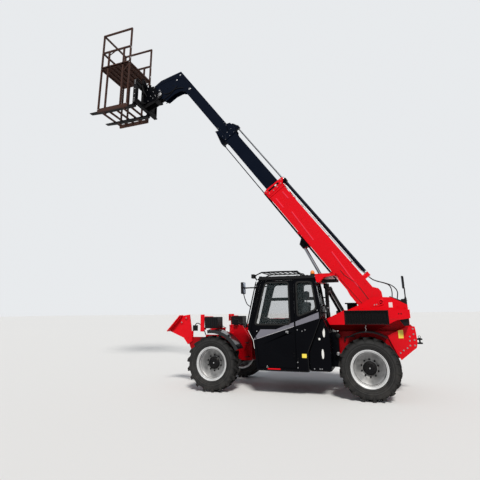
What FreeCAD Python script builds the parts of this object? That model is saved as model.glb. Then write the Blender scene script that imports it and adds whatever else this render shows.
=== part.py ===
"""Telehandler with its three-section boom raised and run out, and a work platform on its forks.

Frame: +X forward, +Y left, +Z up, ground at z = 0. Millimetres and degrees.
Machine coordinates start at the rear axle's centre line on the ground; rear_axle_x moves them
to the frame, whose origin is the bottom centre of the whole machine's box.
Boom coordinates start at the boom's pivot: s runs along the boom and n across it, upward.
"""
import FreeCAD, Part
import math
import os
import re
import Sketcher

Vector = FreeCAD.Vector

DIMENSIONS = [  # alias, value or formula, meaning
    ("rear_axle_x", "-3175", "rear axle in the frame"),
    ("wheelbase", "3058", "rear to front axle"),
    ("stretch", "=wheelbase / 3058", "share of the wheelbase kept by places between the axles"),
    ("wheel_radius", "538", "out to the lugs' tips"),
    ("wheel_mid_y", "915", "tyre's middle plane"),
    ("tyre_half_width", "170", "sidewall bulge from the middle plane"),
    ("carcass_radius", "506", "tread ground between the lugs"),
    ("rim_radius", "327", "rim flange"),
    ("rim_half_width", "145", "outer flange face from the middle plane"),
    ("bead_seat", "302", "radius that carries the tyre"),
    ("hub_radius", "122", "planetary hub cap"),
    ("lug_count", "18", "lugs on each side of a tyre"),
    ("lug_crown", "3.3", "flat lug faces behind their corners, which touch the ground"),
    ("king_y", "800", "kingpin axis"),
    ("king_radius", "25", "kingpin"),
    ("axle_radius", "62", "axle tube"),
    ("chassis_half", "255", "outer face of the long side plates"),
    ("plate_wall", "25", "chassis side plates"),
    ("wide_half", "450", "outer face of the wide side plates"),
    ("chassis_low", "550", "underside between the axles"),
    ("axle_seat", "640", "underside over an axle"),
    ("rear_end", "785", "tower's rear edge behind the rear axle"),
    ("tail_low", "900", "underside of the tower's rear corner"),
    ("tower_top", "1812", "top of the tower plates"),
    ("pod_half", "700", "outer face of the rear pods"),
    ("pod_top", "1555", "flat top of the rear pods"),
    ("pod_low", "1166.4", "underside of the rear pods"),
    ("grille_low", "1295", "bottom of the side grille"),
    ("grille_high", "1535", "top of the side grille"),
    ("grille_rear", "-400", "rear end of the side grille"),
    ("grille_front", "385", "front end of the side grille"),
    ("pivot_x", "-300", "boom pivot from the rear axle"),
    ("pivot_z", "1705", "boom pivot above the ground"),
    ("pivot_radius", "45", "boom pivot pin"),
    ("boom_angle", "53.8", "boom above level at rest"),
    ("outer_length", "3541", "pivot to the collar's face"),
    ("outer_top", "78", "outer section's top above the pivot"),
    ("outer_low", "-367", "outer section's underside"),
    ("outer_half", "150", "outer section's half width"),
    ("boom_wall", "8", "boom plates"),
    ("middle_rear", "2750", "middle section's rear end at rest"),
    ("middle_length", "2650", "middle section's tube"),
    ("middle_top", "50", "middle section's top"),
    ("middle_low", "-295", "middle section's underside"),
    ("middle_half", "118", "middle section's half width"),
    ("inner_rear", "4600", "inner section's rear end at rest"),
    ("inner_length", "3590", "inner section's tube to the head's corner"),
    ("inner_top", "20", "inner section's top"),
    ("inner_low", "-264", "inner section's underside"),
    ("inner_half", "92", "inner section's half width"),
    ("pad_gap", "0.5", "running gap of a wear pad"),
    ("ram_level", "172", "extension ram's axis above the pivot line"),
    ("ram_radius", "37.5", "extension ram's barrel"),
    ("ram_rod", "19", "extension ram's rod"),
    ("guide_level", "-400", "guide rods below the boom"),
    ("guide_half", "110", "guide rods beside the boom's middle"),
    ("head_reach", "=inner_rear + inner_length - 115.5", "carriage pin along the boom at rest"),
    ("head_drop", "-882", "carriage pin below the pivot line"),
    ("head_wall", "12", "head side plates"),
    ("head_x", "=pivot_x + head_reach * cos(boom_angle) - head_drop * sin(boom_angle)",
     "carriage pin ahead of the rear axle"),
    ("head_z", "=pivot_z + head_reach * sin(boom_angle) + head_drop * cos(boom_angle)",
     "carriage pin above the ground"),
    ("head_pin", "38", "carriage pin"),
    ("tilt_foot", "=head_reach - 574.5", "tilt ram's foot along the boom at rest"),
    ("tilt_level", "-122", "tilt ram's foot below the pivot line"),
    ("tilt_arm_x", "40", "tilt lug ahead of the carriage pin"),
    ("tilt_arm_z", "327.5", "tilt lug above the carriage pin"),
    ("tilt_barrel", "38", "tilt ram's barrel"),
    ("tilt_rod", "25", "tilt ram's rod"),
    ("lift_foot_x", "120", "lift ram's foot from the rear axle"),
    ("lift_foot_z", "760", "lift ram's foot above the ground"),
    ("lift_eye_s", "1956", "lift ram's eye along the boom"),
    ("lift_eye_n", "-478", "lift ram's eye below the pivot line"),
    ("lift_barrel", "65", "lift ram's barrel"),
    ("lift_rod", "35", "lift ram's rod and its pins"),
    ("lift_body", "1400", "lift ram's barrel from its foot"),
    ("cab_inner", "300", "cab's wall beside the boom"),
    ("cab_outer", "1050", "cab's door side"),
    ("cab_wall", "40", "cab walls and pillars"),
    ("cab_floor", "455", "cab's underside"),
    ("cab_top", "2180", "top of the cab's walls"),
    ("roof_top", "2238", "top of the roof"),
    ("post_x", "=1300 * stretch", "door post and hinge line"),
    ("door_gap", "6", "door to its frame"),
    ("door_wall", "35", "door"),
    ("glass_wall", "6", "panes"),
    ("bay_rear", "=745 * stretch", "engine bay's rear end"),
    ("bay_front", "=2225 * stretch", "engine bay's front end"),
    ("bay_half", "1025", "hood's outer face"),
    ("bay_top", "1385", "hood's top"),
    ("fork_top", "=head_z - 364.89", "fork blades' upper face at rest"),
    ("fork_face", "=head_x + 605.42", "fork shanks' rear face"),
    ("fork_tip", "=head_x + 2159.42", "fork tips"),
    ("fork_left", "440", "left fork's middle"),
    ("fork_right", "-270", "right fork's middle"),
    ("fork_width", "120", "fork"),
    ("fork_wall", "50", "fork's thickness"),
    ("bar_low", "=head_z - 339.89", "lower fork bar's underside"),
    ("bar_high", "=head_z + 230.11", "upper fork bar's underside"),
    ("bar_height", "120", "fork bars"),
    ("bar_half", "560", "fork bars' half length"),
    ("cage_rear", "=head_x + 799.42", "platform's rear edge"),
    ("cage_front", "=head_x + 1849.42", "platform's front edge"),
    ("cage_half", "550", "platform's half width"),
    ("cage_deck", "=head_z + 1050.11", "platform's deck"),
    ("cage_rail", "=head_z + 1612.11", "platform's middle rail"),
    ("cage_top", "=head_z + 2230.11", "platform's top rail"),
    ("cage_bar", "45", "platform's angle bars"),
    ("steer_x", "=1860 * stretch", "steering wheel ahead of the rear axle"),
    ("steer_y", "=(cab_inner + cab_outer) / 2 + 5", "steering wheel left of the middle"),
    ("steer_z", "1330", "steering wheel above the ground"),
    ("steer_lean", "-35", "steering wheel's lean"),
    ("hose_radius", "11", "boom hoses"),
    ("hose_side", "20", "boom hoses beside the middle plane"),
]
NAMES = {alias for alias, _, _ in DIMENSIONS}

doc = FreeCAD.newDocument("telehandler")
sheet = doc.addObject("Spreadsheet::Sheet", "dims")
for row, (alias, value, meaning) in enumerate(DIMENSIONS, start=1):
    sheet.set(f"A{row}", meaning)
    sheet.set(f"B{row}", value)
    sheet.setAlias(f"B{row}", alias)
doc.recompute()

PARTS = []


def cells(text):
    """An expression whose aliases are read from the sheet."""
    return re.sub(r"[a-z][a-z0-9_]*", lambda m: "dims." + m[0] if m[0] in NAMES else m[0], str(text))


def size(text):
    """The number that an expression gives now."""
    return float(sheet.evalExpression(str(text)))


def bind(item, **exprs):
    for name, text in exprs.items():
        item.setExpression(name.replace("__", "."), cells(text))
    return item


def box(name, x, y, z):
    """A block between two expressions on each axis."""
    item = doc.addObject("Part::Box", name)
    for side, axis, (low, high) in (("Length", "x", x), ("Width", "y", y), ("Height", "z", z)):
        bind(item, **{side: f"({high}) - ({low})", f"Placement__Base__{axis}": low})
    return item


def rod(name, radius, axis, start, end, at=("0", "0", "0")):
    """A cylinder along X, Y or Z from start to end; at gives the other two coordinates."""
    item = doc.addObject("Part::Cylinder", name)
    turn = {"X": Vector(0, 1, 0), "Y": Vector(-1, 0, 0), "Z": Vector(0, 0, 1)}[axis]
    item.Placement.Rotation = FreeCAD.Rotation(turn, 0 if axis == "Z" else 90)
    where = dict(zip("xyz", at))
    where[axis.lower()] = start
    bind(item, Radius=radius, Height=f"({end}) - ({start})")
    bind(item, **{f"Placement__Base__{key}": text for key, text in where.items()})
    return item


def sketch(body, name, plane, corners):
    """A closed outline whose corners are pinned to expressions."""
    outline = body.newObject("Sketcher::SketchObject", name)
    support = [item for item in body.Origin.OriginFeatures if item.Role == plane + "_Plane"]
    outline.AttachmentSupport = [(support[0], "")]
    outline.MapMode = "FlatFace"
    points = [Vector(size(u), size(w), 0) for u, w in corners]
    count = len(points)
    for i in range(count):
        outline.addGeometry(Part.LineSegment(points[i], points[(i + 1) % count]), False)
    for i in range(count):
        outline.addConstraint(Sketcher.Constraint("Coincident", i, 2, (i + 1) % count, 1))
    for i, corner in enumerate(corners):
        for kind, text, value in zip(("DistanceX", "DistanceY"), corner, points[i]):
            index = outline.addConstraint(Sketcher.Constraint(kind, -1, 1, i, 1, value))
            outline.setExpression(f"Constraints[{index}]", cells(text))
    return outline


def plate(name, plane, corners, low, high):
    """An outline in the XZ, YZ or XY plane, thick from low to high on the third axis."""
    body = doc.addObject("PartDesign::Body", name)
    pad = body.newObject("PartDesign::Pad", name + "_pad")
    pad.Profile = sketch(body, name + "_outline", plane, corners)
    pad.Reversed = plane == "XZ"
    bind(pad, Length=f"({high}) - ({low})")
    axis = {"XZ": "y", "YZ": "x", "XY": "z"}[plane]
    bind(body, **{f"Placement__Base__{axis}": low})
    return body


def turned(name, corners):
    """A profile of (y, radius) corners turned about the Y axis."""
    body = doc.addObject("PartDesign::Body", name)
    outline = sketch(body, name + "_profile", "YZ", corners)
    turn = body.newObject("PartDesign::Revolution", name + "_turn")
    turn.Profile = outline
    turn.ReferenceAxis = (outline, ["H_Axis"])
    turn.Angle = 360
    return body


def fuse(name, *items):
    item = doc.addObject("Part::MultiFuse", name)
    item.Shapes = list(items)
    item.Refine = True
    return item


def cut(name, base, *tools):
    item = doc.addObject("Part::Cut", name)
    item.Base = base
    item.Tool = tools[0] if len(tools) == 1 else group(name + "_tools", *tools)
    item.Refine = True
    return item


def group(name, *items):
    item = doc.addObject("Part::Compound", name)
    item.Links = list(items)
    return item


def mirrored(name, source):
    """The same piece on the other side of the middle plane."""
    item = doc.addObject("Part::Mirroring", name)
    item.Source = source
    item.Normal = Vector(0, 1, 0)
    return item


def both(name, source):
    """A piece and its mirror image in one object."""
    return group(name, source, mirrored(name + "_right", source))


def publish(label, item, x="0", y="0", z="0", turn="0"):
    """Puts a finished piece in the frame: moved from the rear axle and turned nose up."""
    shown = group(label + "_node", item)
    shown.setExpression("Placement", cells(
        f"placement(vector(rear_axle_x + ({x}); {y}; {z}); rotation(vector(0; 1; 0); -({turn})))"))
    shown.Label = label
    PARTS.append(shown)
    return shown


def on_boom(label, item):
    return publish(label, item, "pivot_x", "0", "pivot_z", "boom_angle")


# Wheels
RIM = [  # y from the tyre's middle plane, radius
    ("-47", "0"), ("10", "0"), ("10", "hub_radius - 27"), ("-10", "hub_radius"), ("-31", "hub_radius"),
    ("-33", "hub_radius + 18"), ("19", "bead_seat - 30"), ("35", "bead_seat - 14"),
    ("rim_half_width - 18", "bead_seat - 14"), ("rim_half_width - 8", "rim_radius - 11"),
    ("rim_half_width", "rim_radius - 9"), ("rim_half_width", "rim_radius"),
    ("rim_half_width - 10", "rim_radius"), ("rim_half_width - 16", "bead_seat"),
    ("4 - rim_half_width + 8", "bead_seat"), ("6 - rim_half_width", "rim_radius"),
    ("-4 - rim_half_width", "rim_radius"), ("-4 - rim_half_width", "bead_seat - 12"),
    ("7", "bead_seat - 12"), ("1", "bead_seat - 26"), ("-47", "hub_radius + 28"),
]
TYRE_SIDE = [  # y from the middle plane, radius, one side from bead to tread
    ("rim_half_width - 17", "bead_seat + 0.5"), ("rim_half_width - 11", "rim_radius + 1"),
    ("rim_half_width + 1", "rim_radius + 6"), ("tyre_half_width - 2", "rim_radius + 58"),
    ("tyre_half_width", "carcass_radius - 68"), ("tyre_half_width - 17", "carcass_radius - 16"),
    ("tyre_half_width - 50", "carcass_radius"),
]
LUG = [  # x along the tread, y across it, for the outer side
    ("-64", "-6"), ("-16", "-6"), ("66", "tyre_half_width - 10"), ("10", "tyre_half_width - 10"),
]


def tyre_body():
    """A carcass with two rows of slanted lugs, half a pitch apart."""
    inner_side = [(f"0 - ({y})", r) for y, r in reversed(TYRE_SIDE)]
    body = turned("tyre", TYRE_SIDE + inner_side)
    for name, side, turn in (("outer_lug", 1, "0"), ("inner_lug", -1, "180 / lug_count")):
        lug = body.newObject("PartDesign::Pad", name)
        corners = [(x, y if side > 0 else f"0 - ({y})") for x, y in LUG]
        outline = sketch(body, name + "_outline", "XY", corners)
        outline.setExpression("AttachmentOffset", cells(
            f"placement(vector((wheel_radius - lug_crown) * sin({turn}); 0; "
            f"(wheel_radius - lug_crown) * cos({turn})); "
            f"rotation(vector(0; 1; 0); {turn}))"))
        lug.Profile = outline
        lug.Reversed = True
        bind(lug, Length="wheel_radius - carcass_radius + 28")
        doc.recompute()
        ring = body.newObject("PartDesign::PolarPattern", name + "s")
        ring.Originals = [lug]
        axis = [item for item in body.Origin.OriginFeatures if item.Role == "Y_Axis"][0]
        ring.Axis = (axis, [""])
        ring.Angle = 360
        bind(ring, Occurrences="lug_count")
        body.Tip = ring
        doc.recompute()
    return body


def wheels():
    tyre = tyre_body()
    rim = turned("rim", RIM)
    tyre_right = mirrored("tyre_mirror", tyre)
    rim_right = mirrored("rim_mirror", rim)
    for end, x in (("front", "wheelbase"), ("rear", "0")):
        for side, y, tread, disc in (("left", "wheel_mid_y", tyre, rim),
                                     ("right", "0 - wheel_mid_y", tyre_right, rim_right)):
            publish(f"tyre_{end}_{side}", tread, x, y, "wheel_radius")
            publish(f"rim_{end}_{side}", disc, x, y, "wheel_radius")


# Axles and knuckles
AXLE = [  # y, radius, half of the housing
    ("0", "160"), ("110", "150"), ("200", "axle_radius + 8"), ("240", "axle_radius"),
    ("690", "axle_radius"),
    ("690", "0"),
]


def axles():
    """A housing with a bulged middle, a saddle each side and a yoke at each end."""
    half = turned("axle_half", [("0", "0")] + AXLE)
    saddle = box("axle_saddle", ("-90", "90"), ("chassis_half - 45", "chassis_half + 15"),
                 ("0", "axle_seat - wheel_radius"))
    web = box("yoke_web", ("-60", "60"), ("660", "700"), ("-165", "165"))
    arms = [box(f"yoke_arm_{n}", ("-50", "50"), ("690", "king_y + 42"), z)
            for n, z in enumerate((("122", "165"), ("-165", "-122")))]
    bore = rod("yoke_bore", "king_radius + 0.5", "Z", "-170", "170", ("0", "king_y", "0"))
    side = cut("axle_side", fuse("axle_solid", half, saddle, web, *arms), bore)
    whole = fuse("axle_whole", side, mirrored("axle_other", side))
    publish("front_axle", whole, "wheelbase", "0", "wheel_radius")
    publish("rear_axle", whole, "0", "0", "wheel_radius")


def knuckles():
    block = box("knuckle_block", ("-50", "50"), ("-42", "42"), ("-115", "115"))
    pin = rod("knuckle_pin", "king_radius", "Z", "-166", "166")
    drum = rod("knuckle_drum", "hub_radius - 17", "Y", "30", "wheel_mid_y - king_y - 47.3")
    left = fuse("knuckle", block, pin, drum)
    right = mirrored("knuckle_mirror", left)
    for end, x in (("front", "wheelbase"), ("rear", "0")):
        publish(f"knuckle_{end}_left", left, x, "king_y", "wheel_radius")
        publish(f"knuckle_{end}_right", right, x, "0 - king_y", "wheel_radius")


# Chassis
LONG_PLATE = [  # x, z of the plate from nose to tower
    ("0 - rear_end", "tail_low"), ("-430", "axle_seat"), ("250", "axle_seat"), ("420", "chassis_low"),
    ("wheelbase - 308", "chassis_low"), ("wheelbase - 178", "axle_seat"),
    ("wheelbase + 180", "axle_seat"),
    ("wheelbase + 302", "570"), ("wheelbase + 702", "axle_seat"), ("wheelbase + 702", "960"),
    ("wheelbase - 358", "1000"), ("640", "1000"), ("395", "pod_top - 10"), ("100", "1668"),
    ("-150", "tower_top"), ("-500", "tower_top - 15"), ("0 - rear_end", "1645"),
]
FRONT_PLATE = [
    ("wheelbase - 678", "chassis_low"), ("wheelbase - 668", "950"), ("wheelbase - 458", "1270"),
    ("wheelbase - 298", "1270"), ("wheelbase - 108", "1010"), ("wheelbase + 822", "1010"),
    ("wheelbase + 822", "860"), ("wheelbase + 722", "650"), ("wheelbase - 228", "axle_seat"),
    ("wheelbase - 358", "chassis_low"),
]
REAR_PLATE = [
    ("-815", "1150"), ("-815", "930"), ("-560", "axle_seat + 40"), ("-300", "axle_seat"),
    ("420", "axle_seat"), ("600", "760"), ("600", "1150"),
]


def chassis():
    """Two long plates that rise into the boom's tower, wider boxes at both ends and cross plates."""
    side = [
        plate("long_plate", "XZ", LONG_PLATE, "chassis_half - plate_wall", "chassis_half"),
        plate("front_plate", "XZ", FRONT_PLATE, "wide_half - plate_wall", "wide_half"),
        plate("rear_plate", "XZ", REAR_PLATE, "wide_half - plate_wall", "wide_half"),
        box("lamp_post", ("wheelbase - 60", "wheelbase + 60"), ("wide_half - plate_wall", "wide_half"),
            ("1000", "wheel_radius + 677")),
        box("fender_arm", ("wheelbase - 60", "wheelbase + 60"), ("wide_half - 1", "wheel_mid_y + 90"),
            ("wheel_radius + 653.3", "wheel_radius + 677")),
    ]
    left = [
        box("tank_arm", ("700 * stretch", "1000 * stretch"), ("chassis_half - 1", "wide_half + 9.7"),
            ("600", "660")),
        box("cab_mount_rear", ("1150 * stretch", "1230 * stretch"),
            ("chassis_half - 1", "cab_inner - 0.3"),
            ("620", "700")),
        box("cab_mount_front", ("1950 * stretch", "2030 * stretch"),
            ("chassis_half - 1", "cab_inner - 0.3"),
            ("620", "700")),
    ]
    sides = []
    for item in side:
        sides += [item, mirrored(item.Name + "_right", item)]
    inner = "chassis_half - plate_wall + 1"
    cross = [
        box("belly_front", ("wheelbase + 232", "wheelbase + 682"), (f"0 - ({inner})", inner),
            ("axle_seat + 5", "axle_seat + 25")),
        box("belly_middle", ("450", "wheelbase - 318"), (f"0 - ({inner})", inner),
            ("chassis_low", "chassis_low + 15")),
        box("belly_rear", ("-420", "-230"), (f"0 - ({inner})", inner),
            ("axle_seat + 5", "axle_seat + 25")),
        box("cross_front", ("wheelbase + 677", "wheelbase + 702"), ("1 - wide_half", "wide_half - 1"),
            ("660", "940")),
        box("cross_cab", ("wheelbase - 678", "wheelbase - 653"), ("1 - wide_half", "wide_half - 1"),
            ("chassis_low", "920")),
        box("cross_pod", ("575", "600"), ("1 - wide_half", "wide_half - 1"), ("axle_seat", "800")),
        box("cross_tail", ("-780", "-760"), (f"0 - ({inner})", inner), ("tail_low + 5", "1300")),
        rod("lift_foot_pin", "lift_rod", "Y", f"0 - ({inner})", inner,
            ("lift_foot_x", "0", "lift_foot_z")),
        rod("pivot_pin", "pivot_radius", "Y", "-10 - chassis_half", "chassis_half + 10",
            ("pivot_x", "0", "pivot_z")),
    ]
    publish("chassis_frame", fuse("chassis", *sides, *left, *cross))


NOSE = [
    ("wheelbase + 812", "1500"), ("wheelbase + 982", "1475"), ("wheelbase + 1302", "1130"),
    ("wheelbase + 952", "990"), ("wheelbase + 842", "850"), ("wheelbase + 732", "925"),
    ("wheelbase + 772", "1250"),
]


def nose():
    """A bright plate that reaches forward from the chassis on the left, with a sloped flange."""
    cheek = plate("nose_cheek", "XZ", NOSE, "wide_half + 0.3", "wide_half + 25")
    flange = plate("nose_flange", "XZ",
                   [("wheelbase + 982", "1475"), ("wheelbase + 998", "1490"),
                    ("wheelbase + 1318", "1145"),
                    ("wheelbase + 1302", "1130")], "wide_half + 0.3", "wide_half + 170")
    slot = plate("nose_slot", "XZ",
                 [("wheelbase + 1032", "1500"), ("wheelbase + 1202", "1316"),
                  ("wheelbase + 1162", "1280"),
                  ("wheelbase + 992", "1464")], "wide_half + 65", "wide_half + 105")
    boss = [rod(f"nose_boss_{n}", "32", "Y", "wide_half + 20", "wide_half + 45", at)
            for n, at in enumerate((("wheelbase + 887", "0", "1425"),
                                    ("wheelbase + 1002", "0", "1330")))]
    publish("nose_plate", fuse("nose_side", cut("nose_open", fuse("nose_plain", cheek, flange), slot),
                               *boss))


POD = [
    ("740 * stretch", "1395"), ("390", "pod_top"), ("0 - rear_end", "pod_top"),
    ("0 - rear_end", "1400"),
    ("-550", "1365"), ("-140", "pod_low"), ("600 * stretch", "pod_low"),
    ("640 * stretch", "pod_low + 20"),
]


def rear_body():
    """A pod over each rear wheel, undercut below its grille, and the tower's rear cover."""
    pod = plate("pod", "XZ", POD, "chassis_half + 0.3", "pod_half")
    under = plate("pod_under", "YZ",
                  [("pod_half + 1", "grille_low - 12"), ("pod_half + 1", "pod_low - 60"),
                   ("wide_half + 30", "pod_low - 60")], "-900", "800")
    recess = box("pod_recess", ("grille_rear", "grille_front"), ("pod_half - 45", "pod_half + 1"),
                 ("grille_low", "grille_high"))
    publish("rear_pods", both("pod_pair", cut("pod_side", pod, under, recess)))

    gap = "0.3"
    frame = box("grille_frame", (f"grille_rear + {gap}", f"grille_front - {gap}"),
                (f"pod_half - 45 + {gap}", "pod_half - 12"),
                (f"grille_low + {gap}", f"grille_high - {gap}"))
    hole = box("grille_hole", ("grille_rear + 18", "grille_front - 18"), ("pod_half - 38", "pod_half"),
               ("grille_low + 18", "grille_high - 18"))
    slats = []
    count = 13
    for n in range(count):
        middle = f"grille_rear + 18 + (grille_front - grille_rear - 36) * {n + 1} / {count + 1}"
        slats.append(box(f"grille_slat_{n}", (f"{middle} - 7", f"{middle} + 7"),
                         ("pod_half - 39", "pod_half - 20"), ("grille_low + 17", "grille_high - 17")))
    grille = fuse("grille_side", cut("grille_rim", frame, hole), *slats)
    publish("side_grilles", both("grille_pair", grille))


def counterweight():
    """A cast block between the wide plates with a bolted cheek on each side."""
    block = box("weight_block", ("-800", "-560"), ("25.3 - wide_half", "wide_half - 25.3"),
                ("900", "1149"))
    gap = box("weight_gap", ("-786", "-500"), ("-0.3 - chassis_half", "chassis_half + 0.3"),
              ("800", "1200"))
    cheek = plate("weight_cheek", "XZ",
                  [("-360", "1075"), ("-589", "1189"), ("-770", "1246"), ("-849", "1246"),
                   ("-862", "1146"),
                   ("-868", "960"), ("-849", "871"), ("-560", "640"), ("-497", "747")],
                  "wide_half + 0.3", "wide_half + 30")
    tail = plate("weight_tail", "XZ",
                 [("-816", "1249"), ("-840", "1200"), ("-840", "860"), ("-816", "840")],
                 "-30 - wide_half",
                 "wide_half + 30")
    holes = [rod(f"weight_hole_{n}", "9", "X", "-850", "-800", ("0", *at))
             for n, at in enumerate((("-200", "1020"), ("-200", "1140"), ("200", "1020"),
                                     ("200", "1140")))]
    solid = fuse("weight_solid", block, tail, cheek, mirrored("weight_cheek_right", cheek))
    publish("counterweight", cut("weight", solid, gap, *holes))
    jaw = box("hitch_jaw", ("-990", "-841"), ("-70", "70"), ("900", "1000"))
    mouth = box("hitch_mouth", ("-991", "-880"), ("-71", "71"), ("925", "975"))
    bore = rod("hitch_bore", "17", "Z", "890", "1010", ("-945", "0", "0"))
    back = box("hitch_plate", ("-862", "-840.3"), ("-110", "110"), ("868", "1040"))
    publish("tow_hitch", fuse("hitch", cut("hitch_body", jaw, mouth, bore), back))


def tail_cover():
    """The black box behind the pivot with a well that the boom's hoses drop into, and the tail lamps."""
    cover = plate("cover_shell", "XZ",
                  [("-784", "1560"), ("-475", "1560"), ("-475", "1812"), ("-690", "1722"),
                   ("-690", "1760"),
                   ("-784", "1764")], "0.3 - chassis_half + plate_wall",
                   "chassis_half - plate_wall - 0.3")
    well = box("cover_well", ("-665", "-470"), ("-45", "45"), ("1590", "1820"))
    publish("tail_cover", cut("cover", cover, well))
    lamp = plate("tail_lamp", "XZ",
                 [("-752", "1262"), ("-668", "1262"), ("-606", "1350"), ("-606", "1373"),
                  ("-752", "1394.8")],
                 "wide_half + 60", "pod_half - 60")
    publish("tail_lamps", both("tail_lamp_pair", lamp))


def fender(name, start, span, radius, low, high):
    """A curved sheet over a wheel; start is its forward end above level and span its length in degrees."""
    rings = []
    for part, r, low_y, high_y in (("out", f"{radius} + 8", low, high),
                                   ("in", radius, f"{low} - 1", f"{high} + 1")):
        ring = doc.addObject("Part::Cylinder", f"{name}_{part}")
        bind(ring, Radius=r, Height=f"({high_y}) - ({low_y})")
        if part == "out":
            bind(ring, Angle=span)
        ring.setExpression("Placement", cells(
            f"placement(vector(0; {low_y}; 0); rotation(vector(-1; 0; 0); 90) * "
            f"rotation(vector(0; 0; 1); -({start}) - ({span})))"))
        rings.append(ring)
    return cut(name, *rings)


def fenders():
    """Sheets over the wheels, the front pair on the chassis arms and the rear pair under the pods."""
    tyre_in, tyre_out = "wheel_mid_y - tyre_half_width", "wheel_mid_y + tyre_half_width"
    front = fender("front_fender", "82", "72", "wheel_radius + 107", tyre_in, tyre_out)
    publish("front_fenders", both("front_fender_pair", front), "wheelbase", "0", "wheel_radius")
    rear = fender("rear_fender", "58", "66", "wheel_radius + 82", "wide_half + 31", tyre_out)
    publish("rear_fenders", both("rear_fender_pair", rear), "0", "0", "wheel_radius")


# Engine side
def engine_bay():
    """An engine block on the right in an open bay under a hood hinged beside the boom."""
    bay_in = "0 - chassis_half - 0.3"
    wall = [("25 - bay_half", "530"), (bay_in, "530"), (bay_in, "bay_top - 25"),
            ("90 - bay_half", "bay_top - 25"),
            ("25 - bay_half", "bay_top - 80")]
    ends = [plate(f"bay_end_{n}", "YZ", wall, *x)
            for n, x in enumerate((("bay_rear + 6", "bay_rear + 18"),
                                   ("bay_front - 18", "bay_front - 6")))]
    tray = box("bay_tray", ("bay_rear + 6", "bay_front - 6"), ("25 - bay_half", bay_in), ("520", "532"))
    strip = box("bay_strip", ("bay_rear + 6", "bay_front - 6"), ("-345", bay_in),
                ("bay_top - 37", "bay_top - 15.3"))
    publish("engine_bay", fuse("bay", *ends, tray, strip))
    publish("engine_block", box("engine", ("1050 * stretch", "2000 * stretch"), ("-900", "-400"),
                                ("532.3", "1150")))
    shell = plate("hood_shell", "YZ",
                  [("-330", "bay_top"), ("70 - bay_half", "bay_top"), ("0 - bay_half", "bay_top - 60"),
                   ("0 - bay_half", "520"), ("12 - bay_half", "520"), ("12 - bay_half", "bay_top - 65"),
                   ("75 - bay_half", "bay_top - 12"), ("-330", "bay_top - 12")], "bay_rear",
                   "bay_front")
    pin = rod("hood_pin", "9", "X", "bay_rear", "bay_front", ("0", "-330", "bay_top - 6"))
    publish("engine_hood", fuse("hood", shell, pin))


def fuel_tank():
    """A tank behind the cab with a narrower part that runs on to the rear wheel."""
    tank = plate("tank", "XZ",
                 [("668 * stretch", "470"), ("1057 * stretch", "470"), ("1057 * stretch", "794"),
                  ("800 * stretch", "1390"), ("765 * stretch", "1390"), ("668 * stretch", "1140")],
                 "wide_half + 10", "1000")
    rear = box("tank_rear", ("548 * stretch", "670 * stretch"), ("wide_half + 10", "600"),
               ("500", "1140"))
    publish("fuel_tank", fuse("tank_whole", tank, rear))


# Cab
CAB_OUT = [
    ("1069 * stretch", "cab_floor"), ("2094 * stretch", "cab_floor"), ("2152 * stretch", "996"),
    ("2268 * stretch", "1205"), ("2018 * stretch", "cab_top"),
    ("878 * stretch", "cab_top"), ("796 * stretch", "1612"), ("809 * stretch", "1401"),
    ("1069 * stretch", "797"),
]
CAB_IN = [
    ("1069 * stretch + cab_wall", "cab_floor + cab_wall"),
    ("2094 * stretch - cab_wall", "cab_floor + cab_wall"),
    ("2152 * stretch - cab_wall", "1004"), ("2268 * stretch - cab_wall - 3", "1210"),
    ("2018 * stretch - cab_wall - 2", "cab_top + 1"),
    ("878 * stretch + cab_wall", "cab_top + 1"), ("796 * stretch + cab_wall + 1", "1608"),
    ("809 * stretch + cab_wall + 1", "1409"),
    ("1069 * stretch + cab_wall", "805"),
]
HINGE = ("post_x + 12", "cab_outer + 12", "0")
DOOR_OUT = [
    ("post_x", "cab_floor + 45"), ("2045 * stretch", "cab_floor + 45"), ("2100 * stretch", "1010"),
    ("2205 * stretch", "1210"),
    ("1968 * stretch", "cab_top - 30"), ("post_x", "cab_top - 30"),
]
DOOR = [
    ("post_x + door_gap", "cab_floor + 45 + door_gap"),
    ("2045 * stretch - door_gap", "cab_floor + 45 + door_gap"),
    ("2100 * stretch - door_gap - 1", "1012"), ("2205 * stretch - door_gap - 2", "1211"),
    ("1968 * stretch - door_gap", "cab_top - 30 - door_gap"),
    ("post_x + door_gap", "cab_top - 30 - door_gap"),
]
FRONT_PANE = [("post_x + 104", "2110"), ("1880 * stretch", "2110"), ("2115 * stretch", "1300"),
              ("post_x + 104", "1300")]
REAR_PANE = [("post_x - 56", "2105"), ("940 * stretch", "2100"), ("880 * stretch", "1580"),
             ("post_x - 56", "1450")]


def inset(corners, by):
    """The same outline drawn in toward its middle by a fixed distance on each axis."""
    middle_u = sum(size(u) for u, _ in corners) / len(corners)
    middle_w = sum(size(w) for _, w in corners) / len(corners)
    moved = []
    for u, w in corners:
        sign_u = "-" if size(u) > middle_u else "+"
        sign_w = "-" if size(w) > middle_w else "+"
        moved.append((f"({u}) {sign_u} {by}", f"({w}) {sign_w} {by}"))
    return moved


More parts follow.
